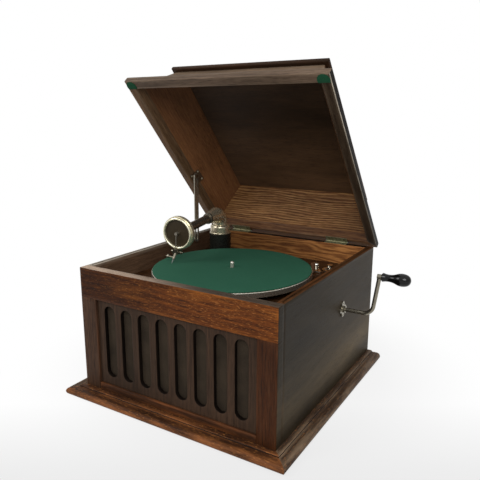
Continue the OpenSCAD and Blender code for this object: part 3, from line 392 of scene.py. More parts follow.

# %% [markdown]
# The slotted panel is the darkest wood of the front, and is painted a little darker towards its left, as
# shade. Its slots could be left the colour of the panel, but their walls are painted near black as shade,
# and those dark lines are what the eye reads as slots.

# %% Slotted panel
# Painted shade: near-black oak for the walls of slots, gaps and steps, where shade falls
painted_shade = oak("painted shade in slots, gaps and steps", "#0b0806", "#120d0a", "#19130e", UPRIGHT, rub=0.0)
grille = eased("grille_panel", ease=0.9, border=3)[0]
# The fade paints the panel a little darker towards its left, as shade
paint(grille, oak("fumed oak with painted shade, slotted panel", "#271b13", "#32241a", "#3c2b1f", UPRIGHT, rub=0.0,
                  heart=(0.1, 0.27, 0.3), fade=[(0, -0.16, 0.16, 0.95, 1.2)]))
repaint(grille, painted_shade, lambda face: abs(face.normal.y) < 0.9)
print("faces of the slotted panel:", len(grille.data.polygons))

# %% [markdown]
# The side boards run from front to back. The right one is painted a flat grey-brown outside, as the pale
# room reflected in its polish; it is painted dark along its foot as shade, lighter low down and towards the
# back as reflection, and keeps brown edges. The top face of the left one is painted pale, as lit from above.
# The ends of the rail and of the right upright lie flush with the right side. They could keep the finish of
# the front, but with that of the side the joint hardly shows.

# %% Sides
CRANK_HOLE_R = 7 * MM
low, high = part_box("crank_escutcheon")
crank_at = (low + high) / 2
# Painted shade and reflection: grey as the pale room mirrored in the polish, dark along the foot as shade,
# lighter low down and towards the back as reflection
painted_side_oak = oak("fumed oak with painted shade and reflection, right side", "#31291c", "#382f21", "#403627", BACKWARD,
               heart=(0.45, -0.15, -0.22), rub=0.1, rubbed="#7a5a3c",
               fade=[(2, 0.02, 0.075, 0.35, 1.0), (2, 0.05, 0.15, 2.0, 0.6), (1, -0.18, 0.2, 0.8, 1.25)])
brown_edge = oak("brown edge of the sides", "#2a190d", "#3d2614", "#54361d", BACKWARD, heart=(0.2, 0.1, 0.3))
right = plank("right_side", ease=0.2, border=7, hole=crank_at, hole_r=CRANK_HOLE_R)
paint(right, painted_side_oak)
repaint(right, brown_edge, lambda face: face.normal.z > 0.5 or face.normal.x < -0.5)
for piece in (rail, stiles[1]):
    repaint(piece, painted_side_oak, lambda face: face.normal.x > 0.7)
left = eased("left_side", ease=0.6, border=7)[0]
paint(left, oak("fumed oak, left side", "#523d2d", "#624a38", "#705642", BACKWARD, rub=0.5,
                heart=(0.1, 0.1, 0.35), rubbed="#93877a"))
left_outside = oak("fumed oak, outside of the left side", "#33271c", "#423323", "#51402d", BACKWARD,
                   heart=(0.3, 0.2, 0.1))
repaint(left, left_outside, lambda face: face.normal.x < -0.5)
# Painted light: the top face is pale, as lit from above
lit_left_top = oak("painted light on the top of the left side", "#6d6458", "#857b6e", "#9a9083", BACKWARD, rub=0.0)
repaint(left, lit_left_top, lambda face: face.normal.z > 0.7)
print("crank hole at:", [round(v, 4) for v in crank_at])

# %% [markdown]
# The back panel is the palest board of the case, with wide arched bands, and its top face is painted near
# black as shade in the gap under the lid. The motor board and the boards under it are plain oak that hardly
# shows, so they differ only in tone.

# %% Back panel and inner boards
back = eased("back_panel", ease=0.3, border=6)[0]
paint(back, oak("oak, back panel", "#683f22", "#86572f", "#a06d3d", ACROSS, heart=(0.2, -0.1, -0.1), ring=8,
                arch=0.2, rub=0.2, sway=(150, 34, 44), fade=[(0, -0.05, 0.16, 0.6, 1.35)]))
back_outside = oak("oak, outside of the back", "#35230f", "#4d351c", "#634728", ACROSS, heart=(0.3, 0.1, 0.2))
repaint(back, back_outside, lambda face: face.normal.y > 0.5)
# Painted shade: the top face lies in the dark gap under the lid
repaint(back, painted_shade, lambda face: face.normal.z > 0.5)
INNER = ("#4a311c", "#6f4f31", "#86653f")
motor_board = eased("motor_board", ease=0.8, border=0)[0]
paint(motor_board, oak("oak, motor board", "#24150a", "#3d2614", "#553820", ACROSS, heart=(0.3, 0.4, -0.1)))
bottom_board = eased("bottom_board", ease=0.8, border=5)[0]
paint(bottom_board, oak("oak, bottom board", *INNER, ACROSS, heart=(0.3, 0.2, 0.1)))
strip = oak("oak, cleats", *INNER, BACKWARD)
cleats = eased("motor_board_cleats", ease=0.8, border=4)
for piece in cleats:
    paint(piece, strip)
print("cleats:", len(cleats))

# %% [markdown]
# The base is three moulded lengths with mitred corners and a plain one behind. Its nose is rubbed to bare
# reddish wood in streaks, its pale edges are partly wear and partly painted highlight, and the corner of
# the step is painted near black as shade. One finish for all would run the grain across the side lengths,
# so these have their own. A length whose middle lies far out is a side one.

# %% Base
SIDE_X = 0.1
STEP_Z = 14.5 * MM
# On moulded lengths only faces larger than this, in square metres, get a border
LARGE = 0.002
base = eased("base_moulding", ease=0.8, border=5, flat=LARGE)
for piece in base:
    at = middle(piece)
    # The pale edges from rub are partly wear and partly painted highlight
    settings = dict(heart=(0.3 + at, 0.2, 0.12), ring=6, rub=0.6)
    if abs(at) > SIDE_X:
        finish = oak("fumed oak, base %.2f" % at, "#2a1d14", "#3d2e24", "#513f30", BACKWARD, rubbed="#85705a",
                     blotch=0.15, sparks=0.7, **settings)
    else:
        finish = oak("fumed oak, base %.2f" % at, "#1e1009", "#352014", "#4f2e18", ACROSS, rubbed="#8a552f",
                     bare=0.25, sparks=1.0, **settings)
    paint(piece, finish)
    # Painted shade in the corner of the step
    repaint(piece, painted_shade, lambda face: abs(face.normal.z) < 0.5 and face.center.z > STEP_Z)
print("base lengths:", len(base))

# %% [markdown]
# The lid stands open at 48 degrees, so its grain is turned back by that angle. Its rim is four lengths,
# whose tones differ partly as painted light and shade. The right one is painted nearly black outside, as
# shade, and its arris at the mouth of the lid carries a painted highlight, a pale line that runs the whole
# way up. That line could be a strip of its own, but a second finish on the rounded faces is enough.

# %% Lid rim
LID_OPEN = 48.3
SHUT, SHUT_SIDE = (LID_OPEN, 0, 0), (LID_OPEN, 0, -90)
# The rear lengths of the open lid reach below this height in metres
REAR_Z = 0.3


def is_rear(one):
    return min(v.co.z for v in one.data.vertices) < REAR_Z


rims = eased("lid_rim", ease=0.25, border=4, flat=LARGE)
for piece in rims:
    at = middle(piece)
    # The tones are partly painted light and shade: the front length lighter, as lit from above, the right one
    # darker, as in shade
    if at > SIDE_X:
        tones, turn = ("#251b12", "#2f241a", "#3a2e22"), SHUT_SIDE
    elif at < -SIDE_X:
        tones, turn = ("#46321f", "#553f2b", "#644c36"), SHUT_SIDE
    elif is_rear(piece):
        tones, turn = ("#3f2718", "#5c3c25", "#735132"), SHUT
    else:
        tones, turn = ("#4a3c30", "#5e4d3f", "#725f4f"), SHUT
    paint(piece, oak("fumed oak, lid rim %.2f" % at, *tones, turn, heart=(0.2, 0.2 + at, 0.1), ring=7,
                     rubbed="#7d6c5a"))
    if at > SIDE_X:
        # Painted shade: the outer face of the right length is near black
        repaint(piece, painted_shade, lambda face: face.normal.x > 0.95)
        # Painted highlight: a pale line on the arris, brighter towards the top
        arris = oak("painted highlight on the arris of the lid", "#8a8173", "#a59b8c", "#b8ae9f", SHUT_SIDE, rub=0.0,
                    fade=[(2, 0.28, 0.56, 0.45, 1.0)])
        repaint(piece, arris, lambda face: 0.2 < face.normal.x < 0.95 and face.normal.y < -0.1)
print("rim lengths:", len(rims))

# %% [markdown]
# Four coved boards and a flat panel close the lid. Inside, the rear board is the palest, and the panel,
# which is the ceiling of the open lid, is a dark oak with painted shade that makes it almost black towards
# the top; the side boards too are painted darker towards the top, as shade. Outside, the sides, the rear
# board and the panel are a plain brown, and the front board is grey-brown all over. One finish for the
# whole lid would be simpler, but the grain has to follow the length of each board.

# %% Lid boards and top panel
PLAIN = ("#36281c", "#473627", "#584533")
outside = oak("fumed oak, outside of the lid", *PLAIN, SHUT_SIDE, heart=(0.2, 0.3, 0.1))
outside_back = oak("fumed oak, outside of the lid, across", *PLAIN, SHUT, heart=(0.2, 0.3, 0.1))
boards = eased("lid_boards", ease=0.8, border=5, flat=LARGE)
for piece in boards:
    at = middle(piece)
    if abs(at) > SIDE_X:
        # The fade paints the side boards darker towards the top, as shade under the panel
        paint(piece, oak("oak, lid board %.2f" % at, "#4d311c", "#623f27", "#744e31", SHUT_SIDE, rub=0.1,
                         heart=(0.3, 0.1, at), flecks=0.25, rubbed="#80592c", spread=0.2,
                         fade=[(2, 0.3, 0.56, 1.3, 0.6)]))
        repaint(piece, outside, lambda face: face.normal.x * at > 0)
    elif is_rear(piece):
        paint(piece, oak("oak, lid back board", "#3a2114", "#6a4728", "#957046", SHUT, ring=5, arch=0.16,
                         heart=(-0.02, 0.02, 0.05), rub=0.1, spread=0.17))
        repaint(piece, outside_back, lambda face: face.normal.y > 0.1)
    else:
        paint(piece, oak("oak, lid front board", "#4a3c30", "#604f3f", "#74614f", SHUT, heart=(0.3, 0.3, 0.1),
                         rubbed="#8a7a68"))
panel = eased("lid_top_panel", ease=1.0, border=6, flat=2 * LARGE)[0]
# A dark oak, darkened further by painted shade that grows towards the top
paint(panel, oak("dark oak with painted shade, lid panel", "#35251a", "#3b2a1c", "#432f1f", SHUT, rub=0.1,
                 heart=(0.1, 0.3, 0.05), fade=[(2, 0.34, 0.52, 2.0, 0.56)]))
repaint(panel, outside_back, lambda face: face.normal.y > 0.5)
print("lid boards:", len(boards))

# %% [markdown]
# The bright fittings are nickel plate over brass and steel, polished once and now a little yellow and
# cloudy. Bare metal is metallic 1 with its colour as reflectance. Hazy plating scatters some of the light
# like a paint, so it takes a lower value. Cloudy patches change the roughness, and fine scratches tilt the
# surface. Real scratches are finer than a tenth of a millimetre and are drawn 0.8 mm wide, so that they
# show. One recipe serves all the metals, with the colour, the tarnish and the cloud size in millimetres
# changed.

# %% Metal recipe
SCRATCH_W = 0.8 * MM


def plated(name, bright, tarnish, rough, cloud=9, spots=0.35, scratch=0.06, metallic=1.0):
    material, tree, shader = start_finish(name, Metallic=metallic)
    place = add(tree, "TexCoord").outputs["Object"]
    clouds = add(tree, "TexNoise", {"Scale": 1 / (cloud * MM), "Detail": 4.0, "Roughness": 0.65},
                 {"Vector": place}).outputs["Fac"]
    mask = set_ramp(add(tree, "ValToRGB", links={"Fac": clouds}), [(0.42, 0.0), (0.72, spots)])
    colour = add(tree, "Mix", {6: linear(bright), 7: linear(tarnish)}, {0: mask}, data_type="RGBA").outputs[2]
    tree.links.new(colour, shader.inputs["Base Color"])
    cloudy = add(tree, "MapRange", {"To Min": rough - 0.08, "To Max": rough + 0.2},
                 {"Value": clouds}).outputs[0]
    tree.links.new(cloudy, shader.inputs["Roughness"])
    fine = add(tree, "TexNoise", {"Scale": 1 / SCRATCH_W, "Detail": 2.0}, {"Vector": place}).outputs["Fac"]
    bump = add(tree, "Bump", {"Strength": scratch, "Distance": 0.2 * MM}, {"Height": fine}).outputs[0]
    tree.links.new(bump, shader.inputs["Normal"])
    return material


print("metal recipe ready")

# %% [markdown]
# Each metal is named for its finish. The fittings that hands touch are duller than the ring of the sound
# box, the hinges have gone greenish, and the steel of the motor is oiled and dark. A single nickel for
# everything would be simpler, but then the arm, the crank and the ring would look alike. The comment above
# each finish says what it gives the eye.

# %% Metals
# Hazy and a little yellow, with soft highlights
nickel = plated("worn nickel plate", "#d4cdb8", "#8f866f", rough=0.24, scratch=0.015, metallic=0.82)
# Smooth and warm, with the brown wood mirrored in it
elbow_nickel = plated("polished old nickel", "#cfc5ab", "#8f846b", rough=0.2, spots=0.3, scratch=0.004,
                      metallic=0.83)
# Grey, with a dull gleam along the edges
grey_nickel = plated("greyed nickel plate", "#a8a294", "#6d6759", rough=0.26, scratch=0.02, metallic=0.85)
# Darkened by handling, bright only where it turns to the light
dark_nickel = plated("dull nickel plate", "#8f897a", "#4d473b", rough=0.18, spots=0.4, scratch=0.01,
                     metallic=0.92)
# Dark grey, with a soft line of light along the tube
black_nickel = plated("blackened nickel plate", "#7d776b", "#554f45", rough=0.2, spots=0.3, scratch=0.004,
                      metallic=0.82)
# Pale and smooth, polished by the records slipped over it
bright_steel = plated("bright worn steel", "#dcd8cc", "#a9a496", rough=0.24, spots=0.2, scratch=0.0,
                      metallic=0.8)
# Cream-white, the brightest line of the sound box
bright_ring = plated("polished nickel ring", "#fbf5d8", "#cfc6a4", rough=0.24, spots=0.3, scratch=0.015,
                     metallic=0.85)
# Mirror-bright, with points of light
polished = plated("polished nickel", "#e8e4d8", "#b9b3a2", rough=0.16, spots=0.2)
# A pale line on top and a dark mirror of the board at the side
pressed_steel = plated("plated pressed steel", "#cfcabb", "#8a8270", rough=0.22, metallic=0.92)
# Brown and almost matt
bronzed = plated("bronzed steel", "#4d3723", "#2c2015", rough=0.5, metallic=0.4)
# Dull, with greenish spots
old_brass = plated("greenish old brass", "#8d8a6a", "#4f4d36", rough=0.5, cloud=4, spots=0.8, metallic=0.7)
# Dark grey and slightly oily
steel = plated("oiled steel", "#8f8f8c", "#4c4a45", rough=0.38, cloud=14, spots=0.6)
# Warm yellow with brown patches
brass = plated("bare brass", "#b8934d", "#6b5227", rough=0.34, cloud=12, spots=0.6)
# Black and rough from the mould
iron = plated("black cast iron", "#3a3936", "#1d1b19", rough=0.55, cloud=5, spots=0.7, scratch=0.3)
print("materials so far:", len(bpy.data.materials))

# %% [markdown]
# The metal parts keep the meshes of the CAD model and only take a finish. They could be copied and eased
# like the boards, but at this scale the picture would hardly show it.

# %% Metal parts
metals = {
    nickel: ["stay_stud", "sound_box_shell", "motor_bolts"],
    elbow_nickel: ["tone_arm_elbow"],
    grey_nickel: ["lid_stay", "stylus_bar"],
    dark_nickel: ["crank_escutcheon", "crank_rod", "needle_holder"],
    black_nickel: ["tone_arm_tube"],
    bright_steel: ["turntable_spindle"],
    bright_ring: ["sound_box_ring"],
    polished: ["speed_dial", "speed_regulator", "brake_plate", "brake_lever"],
    pressed_steel: ["turntable"],
    bronzed: ["stay_bracket"],
    old_brass: ["hinge_case_leaves", "hinge_lid_leaves"],
    steel: ["motor_plates", "motor_pillars", "hinge_pins", "spring_barrel", "mainspring", "winding_arbor",
            "governor_shaft", "needle"],
    brass: ["motor_bearings", "barrel_cover", "middle_arbor", "governor_weights"],
    iron: ["horn_throat"],
}
for material, names in metals.items():
    for name in names:
        paint(nodes[name], material)
print("metal parts:", sum(len(n) for n in metals.values()))

# %% [markdown]
# The black parts differ: the column under the tone arm is japanned metal with a soft shine, the crank
# handle is turned wood under a hard black polish that gives sharp highlights, and the motor's bushes are
# dull rubber. The diaphragm is a dark pressed disc, and the brake pad is a scrap of brown leather. They
# could share one black, but shine and grain, in millimetres, are what tells them apart. The horn inside is
# plain deal.

# %% Black parts, diaphragm, brake pad and horn
def coated(name, colour, other, rough, grain, bump_depth, coat=0.0, shine=0.5):
    material, tree, shader = start_finish(name, **{"Coat Weight": coat, "Coat Roughness": 0.03,
                                                   "Specular IOR Level": shine})
    place = add(tree, "TexCoord").outputs["Object"]
    spots = add(tree, "TexNoise", {"Scale": 1 / (grain * MM), "Detail": 3.0},
                {"Vector": place}).outputs["Fac"]
    mixed = add(tree, "Mix", {6: linear(colour), 7: linear(other)}, {0: spots}, data_type="RGBA").outputs[2]
    tree.links.new(mixed, shader.inputs["Base Color"])
    soft = add(tree, "MapRange", {"To Min": rough - 0.07, "To Max": rough + 0.12},
               {"Value": spots}).outputs[0]
    tree.links.new(soft, shader.inputs["Roughness"])
    bump = add(tree, "Bump", {"Strength": 0.25, "Distance": bump_depth * MM}, {"Height": spots}).outputs[0]
    tree.links.new(bump, shader.inputs["Normal"])
    return material


coats = {
    "tone_arm_pedestal": coated("black japanned metal", "#121310", "#1b1c18", rough=0.25, grain=4,
                                bump_depth=0.008, shine=0.25),
    "crank_handle": coated("black polished wood", "#060606", "#0e0d0c", rough=0.16, grain=7,
                           bump_depth=0.005, coat=0.5, shine=0.05),
    "motor_bushes": coated("black rubber", "#191715", "#262320", rough=0.7, grain=2, bump_depth=0.1),
    "sound_box_diaphragm": coated("dark pressed diaphragm", "#281f13", "#393020", rough=0.4, grain=3,
                                  bump_depth=0.02, shine=0.2),
    "brake_pad": coated("brown leather", "#4a2f1b", "#6a4529", rough=0.6, grain=1.5, bump_depth=0.15),
    "horn": oak("deal boards of the horn", "#6b4a2c", "#8a6540", "#a27c50", BACKWARD, ring=14),
}
for name, material in coats.items():
    paint(nodes[name], material)
print("other parts painted:", len(coats))

# %% [markdown]
# The turntable is covered with green baize, a short felt. It is a disc cut 302 mm across with a hole for
# the spindle, laid on the pressed plate. It is built from a cylinder whose ends are inset ring by ring down
# to the hole and then bridged, so that the disc has a real bore. A flat circle would do, but it would have
# no edge to catch the light. To the eye baize is matt and even, with a faint nap. Its fibres are finer than
# a tenth of a millimetre and are drawn 1.6 mm wide, so that they show, and a soft sheen lies along the far
# edge.

# %% Baize
def felt(name, deep, light, nap):
    material, tree, shader = start_finish(name, Roughness=0.95, **{
        "Sheen Weight": 0.06, "Sheen Roughness": 0.5, "Sheen Tint": linear("#7fae93"),
        "Specular IOR Level": 0.1})
    place = add(tree, "TexCoord").outputs["Object"]
    fibres = add(tree, "TexNoise", {"Scale": 1 / (nap * MM), "Detail": 4.0, "Roughness": 0.7},
                 {"Vector": place}).outputs["Fac"]
    worn = add(tree, "TexNoise", {"Scale": 1 / (60 * MM), "Detail": 1.0}, {"Vector": place}).outputs["Fac"]
    worn = add(tree, "MapRange", {"To Min": 0.42, "To Max": 0.58}, {"Value": worn}).outputs[0]
    both = add(tree, "Math", {1: 0.5}, {0: fibres, 2: worn}, operation="MULTIPLY_ADD").outputs[0]
    colour = set_ramp(add(tree, "ValToRGB", links={"Fac": both}), [(0.45, deep), (1.0, light)])
    tree.links.new(colour, shader.inputs["Base Color"])
    bump = add(tree, "Bump", {"Strength": 0.5, "Distance": 0.4 * MM}, {"Height": fibres}).outputs[0]
    tree.links.new(bump, shader.inputs["Normal"])
    return material


# Radii to which the ends are inset, the last one the hole's
BAIZE_RINGS = (145 * MM, 120 * MM, 85 * MM, 50 * MM, 20 * MM, 4.2 * MM)
low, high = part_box("turntable_felt")
baize_r = (high.x - low.x) / 2
bpy.ops.object.select_all(action="DESELECT")
bpy.ops.mesh.primitive_cylinder_add(vertices=160, radius=baize_r, depth=high.z - low.z,
                                    location=(low + high) / 2)
baize = bpy.context.object
baize.name = "baize"
bpy.ops.object.transform_apply()
select_faces(baize, lambda face: abs(face.normal.z) > 0.9)
reach = baize_r
for radius in BAIZE_RINGS:
    bpy.ops.mesh.inset(thickness=reach - radius, use_individual=True)
    reach = radius
bpy.ops.mesh.bridge_edge_loops()
bpy.ops.object.mode_set(mode="OBJECT")
apply_modifier(baize, "BEVEL", width=0.5 * MM, segments=2, limit_method="ANGLE", angle_limit=math.radians(40))
bpy.ops.object.shade_smooth_by_angle(angle=math.radians(50))
paint(baize, felt("green baize", "#17402f", "#2b5a46", nap=1.6))
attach(baize, "platter")
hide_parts("turntable_felt")
print("baize across:", round(2 * baize_r / MM), "mm")

# %% [markdown]
# Two round felt pads sit on the front corners of the lid rim, where it meets the case. Each is a disc 22 mm
# across, cut straight along the inner edge of the rim, 5 mm from its middle. New discs could be drawn, but
# those of the CAD model already have the cut, so they are copied and eased all round, like a piece punched
# out of felt.

# %% Lid pads
pads = eased("lid_pads", ease=0.45, border=3, kind="felt")
pad_felt = felt("green pad felt", "#0d2c1c", "#1b4830", nap=1.2)
for piece in pads:
    paint(piece, pad_felt)
print("pads:", len(pads))

# %% [markdown]
# Behind the slots a plain brown cloth is stretched over the mouth of the horn. It is a fine grid, blown
# very slightly by a cloud pattern so that it isn't dead flat, and thickened. A cloth simulation could do
# the same, but a stretched cloth hardly moves. The threads are really 0.5 mm apart and are drawn 0.8 mm
# apart, so that the weave shows.

# %% Grille cloth
THREAD = 0.8 * MM
# Width of the puckers and of the clouds of dust
CLOUD = 30 * MM
low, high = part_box("grille_cloth")
wide, tall = high.x - low.x, high.z - low.z
bpy.ops.object.select_all(action="DESELECT")
bpy.ops.mesh.primitive_grid_add(x_subdivisions=110, y_subdivisions=52, size=1,
                                location=(0, (low.y + high.y) / 2, (low.z + high.z) / 2),
                                rotation=(math.radians(90), 0, 0))
cloth = bpy.context.object
cloth.name = "cloth"
cloth.scale = (wide, tall, 1)
bpy.ops.object.transform_apply()
puckers = bpy.data.textures.new("puckers", "CLOUDS")
puckers.noise_scale = CLOUD
apply_modifier(cloth, "DISPLACE", texture=puckers, texture_coords="OBJECT", strength=0.4 * MM, mid_level=0.5)
apply_modifier(cloth, "SOLIDIFY", thickness=0.5 * MM, offset=0)
bpy.ops.object.shade_smooth()
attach(cloth, "case")
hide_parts("grille_cloth")
print("cloth:", round(wide / MM), "by", round(tall / MM), "mm")

# %% [markdown]
# The cloth is a plain weave, brown and dusty. Two crossing waves stand for the threads, and dust lies over
# them in soft clouds. To the eye it is a flat dark brown with a faint grid and no shine.

# %% Finish of the cloth
material, tree, shader = start_finish("brown grille cloth", Roughness=0.9, **{"Specular IOR Level": 0.1})
place = add(tree, "TexCoord").outputs["Object"]
threads = []
for across in ("X", "Z"):
    wave = add(tree, "TexWave", {"Scale": WAVE / THREAD, "Distortion": 0.6, "Detail": 2.0},
               {"Vector": place}, wave_type="BANDS", bands_direction=across)
    threads.append(wave.outputs["Fac"])
weave = add(tree, "Math", links={0: threads[0], 1: threads[1]}, operation="MULTIPLY").outputs[0]
dust = add(tree, "TexNoise", {"Scale": 1 / CLOUD, "Detail": 4.0}, {"Vector": place}).outputs["Fac"]
both = add(tree, "Math", {1: 0.5}, {0: weave, 2: dust}, operation="MULTIPLY_ADD").outputs[0]
colour = set_ramp(add(tree, "ValToRGB", links={"Fac": both}), [(0.3, "#221c16"), (0.9, "#382f25")])
tree.links.new(colour, shader.inputs["Base Color"])
bump = add(tree, "Bump", {"Strength": 0.4, "Distance": 0.4 * MM}, {"Height": weave}).outputs[0]
tree.links.new(bump, shader.inputs["Normal"])
paint(cloth, material)
print("thread spacing drawn:", round(THREAD / MM, 1), "mm")

# %% [markdown]
# Small slotted screws hold the hinges, the stay's bracket, the crank's plate and the column. A screw head
# is a short cylinder with an eased edge and a slot sawn across it. Dark lines could be painted on instead,
# but a real slot catches the light. One function makes each head where it belongs, so every screw has its
# own mesh and its slot stands at its own angle.

# %% Screw recipe
HEAD_H, SAW_H = 1.0 * MM, 0.6 * MM


def screw(place, facing, radius, body, spin, rise=0.5, finish=nickel):
    bpy.ops.object.select_all(action="DESELECT")
    bpy.ops.mesh.primitive_cube_add(size=1, scale=(3 * radius, 0.34 * radius, SAW_H),
                                    location=(0, 0, rise * MM))
    saw = bpy.context.object
    bpy.ops.mesh.primitive_cylinder_add(vertices=28, radius=radius, depth=HEAD_H,
                                        location=(0, 0, rise * MM - HEAD_H / 2))
    head = bpy.context.object
    head.name = "screw"
    bpy.ops.object.transform_apply()
    apply_modifier(head, "BEVEL", width=0.25 * MM, segments=2, limit_method="ANGLE",
                   angle_limit=math.radians(40))
    apply_modifier(head, "BOOLEAN", object=saw)
    bpy.data.objects.remove(saw)
    head.rotation_euler = (facing.to_track_quat("Z", "Y") @ Quaternion((0, 0, 1), spin)).to_euler()
    head.location = place
    pick(head)
    bpy.ops.object.transform_apply()
    bpy.ops.object.shade_smooth_by_angle(angle=SMOOTH)
    paint(head, finish)
    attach(head, body)
    return head


print("screw recipe ready")

# %% [markdown]
# Screws on the lid are placed as if it were shut and are then turned open with it, which keeps their places
# simple. The hinge screws lie flush in their leaves, so they rise only a trace.

# %% Screws of the hinges and the bracket
UP, DOWN, RIGHT = Vector((0, 0, 1)), Vector((0, 0, -1)), Vector((1, 0, 0))
# Places along and across a hinge leaf, and how far its screws rise, in millimetres
HINGES_X, LEAF_X, LEAF_Y, LEAF_Z, FLUSH = (-119, 119), (-17, 0, 17), -9, 0.1, 0.03
HINGE_HEAD, BRACKET_HEAD = 2.6 * MM, 2.2 * MM
BRACKET_AT = (-183.5 * MM, -170 * MM, 9.8 * MM)
BRACKET_LEAN = math.atan(48 / 86)
# The bracket's thickness and the places of its screws, in millimetres
BRACKET_T, BRACKET_Y, BRACKET_Z = 1.6, (-3, 19), (-3, 14)
low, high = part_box("hinge_pins")
axis = Vector((0, (low.y + high.y) / 2, (low.z + high.z) / 2))
opened = Matrix.Translation(axis) @ Matrix.Rotation(math.radians(-LID_OPEN), 4, "X")
screws = []
for hinge in HINGES_X:
    for along in LEAF_X:
        on_case = axis + Vector((hinge + along, LEAF_Y, -LEAF_Z)) * MM
        on_lid = opened @ (Vector((hinge + along, LEAF_Y, LEAF_Z)) * MM)
        screws.append(screw(on_case, UP, HINGE_HEAD, "case", spin=along, rise=FLUSH, finish=dark_nickel))
        screws.append(screw(on_lid, opened.to_3x3() @ DOWN, HINGE_HEAD, "lid", spin=1 + along, rise=FLUSH,
                            finish=dark_nickel))
plate = opened @ Matrix.Translation(BRACKET_AT) @ Matrix.Rotation(BRACKET_LEAN, 4, "Y")
for along in BRACKET_Y:
    for up in BRACKET_Z:
        spot = plate @ (Vector((BRACKET_T, along, up)) * MM)
        screws.append(screw(spot, plate.to_3x3() @ RIGHT, BRACKET_HEAD, "lid", spin=along + up))
print("screws on the hinges and the bracket:", len(screws))

# %% [markdown]
# The crank's plate has a screw in each of its four lobes, and the column's foot has four screws round its
# flange. Their angles are uneven, as a fitter leaves them. They could be an array round a centre, but then
# every slot would point the same way.

# %% Screws of the crank plate and the column
LOBE_X, LOBE_RING, LOBE_HEAD = 202.5 * MM, 11.6 * MM, 2.0 * MM
FLANGE_RING, FLANGE_Z, FLANGE_HEAD = 28.5 * MM, 207 * MM, 2.6 * MM
FLANGE_ANGLES = (-100, -25, 80, 170)
for k in range(4):
    turn = math.radians(90 * k)
    spot = (LOBE_X, crank_at.y + LOBE_RING * math.sin(turn), crank_at.z + LOBE_RING * math.cos(turn))
    screws.append(screw(spot, RIGHT, LOBE_HEAD, "case", spin=0.7 * k, rise=0.4, finish=dark_nickel))
low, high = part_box("tone_arm_pedestal")
foot = (low + high) / 2
for angle in FLANGE_ANGLES:
    turn = math.radians(angle)
    spot = (foot.x + FLANGE_RING * math.cos(turn), foot.y + FLANGE_RING * math.sin(turn), FLANGE_Z)
    screws.append(screw(spot, UP, FLANGE_HEAD, "case", spin=turn))
print("screws:", len(screws))

# %% [markdown]
# The picture has a white background and a pale floor that turns grey towards the viewer. The floor is a
# large plane. To the camera and in reflections it fades to plain white with distance, and near the case it
# is a real matt surface, so the shadow stays. A backdrop lit to white would do the same with more lamps.

# %% Floor
FLOOR_SIZE = 12
CASE_MIDDLE = (0.0, 0.05, 0.0)
# The shadow fades between these distances in metres, and the floor is at least this white
SHADOW_NEAR, SHADOW_FAR, LEAST_WHITE = 0.25, 0.5, 0.78
TO_VIEWER = (0.52, -0.85, 0.0)
# Distance towards the viewer in metres and the level of the white there
LEVELS = [(0.12, 1.0), (0.3, 0.86), (0.6, 0.7), (1.0, 1.0)]
bpy.ops.object.select_all(action="DESELECT")
bpy.ops.mesh.primitive_plane_add(size=FLOOR_SIZE)
floor = bpy.context.object
floor.name = "floor"
material, tree, shader = start_finish("pale matt floor", Roughness=0.9)
shader.inputs["Base Color"].default_value = linear("#d9d9d9")
place = add(tree, "TexCoord").outputs["Object"]
away = add(tree, "VectorMath", {1: CASE_MIDDLE}, {0: place}, operation="DISTANCE").outputs["Value"]
fade = add(tree, "MapRange", {"From Min": SHADOW_NEAR, "From Max": SHADOW_FAR, "To Min": LEAST_WHITE},
           {"Value": away}, interpolation_type="SMOOTHSTEP").outputs[0]
ray = add(tree, "LightPath").outputs
seen = ray["Is Camera Ray"]
for kind in ("Is Glossy Ray", "Is Transmission Ray"):
    seen = add(tree, "Math", links={0: seen, 1: ray[kind]}, operation="MAXIMUM").outputs[0]
share = add(tree, "Math", links={0: seen, 1: fade}, operation="MULTIPLY").outputs[0]
toward = add(tree, "VectorMath", {1: TO_VIEWER}, {0: place}, operation="DOT_PRODUCT").outputs["Value"]
level = set_ramp(add(tree, "ValToRGB", links={"Fac": toward}), LEVELS)
white = add(tree, "Emission", {"Color": (1, 1, 1, 1)}, {"Strength": level}).outputs[0]
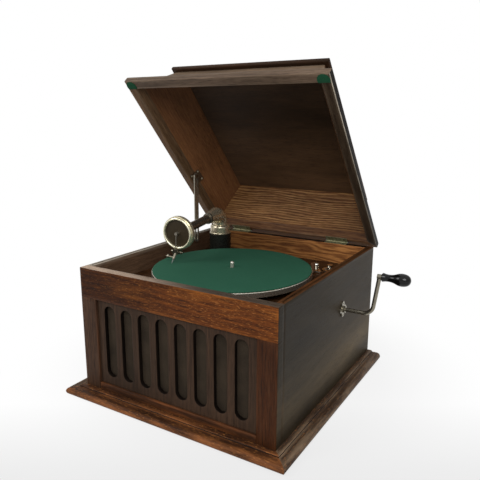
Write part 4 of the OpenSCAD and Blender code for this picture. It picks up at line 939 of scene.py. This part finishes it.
mixed = add(tree, "MixShader", links={0: share, 1: shader.outputs[0], 2: white}).outputs[0]
for made in tree.nodes:
    if made.type == "OUTPUT_MATERIAL":
        tree.links.new(mixed, made.inputs["Surface"])
paint(floor, material)
print("floor across:", FLOOR_SIZE, "m")

# %% [markdown]
# A white room gives soft light from above, and its walls are dimmer, so metal shows dark and bright bands.
# One large soft lamp stands in front and to the right, and a weaker one on the left lifts the shadows. The
# strengths are plain, so a colour looks about as it is written.

# %% Room
# Strength of the light from the walls and from above
WALLS, CEILING = 0.4, 0.95
world = bpy.data.worlds.new("white room")
scene.world = world
world.use_nodes = True
tree = world.node_tree
tree.nodes.clear()
ray = add(tree, "LightPath").outputs
seen = add(tree, "Math", links={0: ray["Is Camera Ray"], 1: ray["Is Transmission Ray"]},
           operation="MAXIMUM").outputs[0]
up = add(tree, "SeparateXYZ", links={"Vector": add(tree, "TexCoord").outputs["Generated"]}).outputs["Z"]
room = add(tree, "MapRange", {"From Min": -0.1, "From Max": 0.8, "To Min": WALLS, "To Max": CEILING},
           {"Value": up}).outputs[0]
strength = add(tree, "Mix", {3: 1.0}, {0: seen, 2: room}, data_type="FLOAT").outputs[0]
sky = add(tree, "Background", {"Color": (1, 1, 1, 1)}, {"Strength": strength}).outputs[0]
add(tree, "OutputWorld", links={"Surface": sky})
print("room:", world.name)

# %% [markdown]
# Both lamps are discs, because a round lamp leaves round highlights on the handle and the metal. They aim
# at the motor board. A sun lamp would be simpler, but its shadows are hard.

# %% Lamps
AIM = Vector((0, 0, 0.2))


def lamp(name, place, size, power):
    bpy.ops.object.light_add(type="AREA", location=place)
    made = bpy.context.object
    made.name = name
    made.rotation_euler = (AIM - Vector(place)).to_track_quat("-Z", "Y").to_euler()
    made.data.shape = "DISK"
    made.data.size = size
    made.data.energy = power
    return made


lamps = [lamp("front lamp", (0.9, -1.7, 1.5), size=1.2, power=22),
         lamp("left lamp", (-1.1, -1.3, 1.3), size=0.9, power=10)]
print("lamps:", len(lamps))
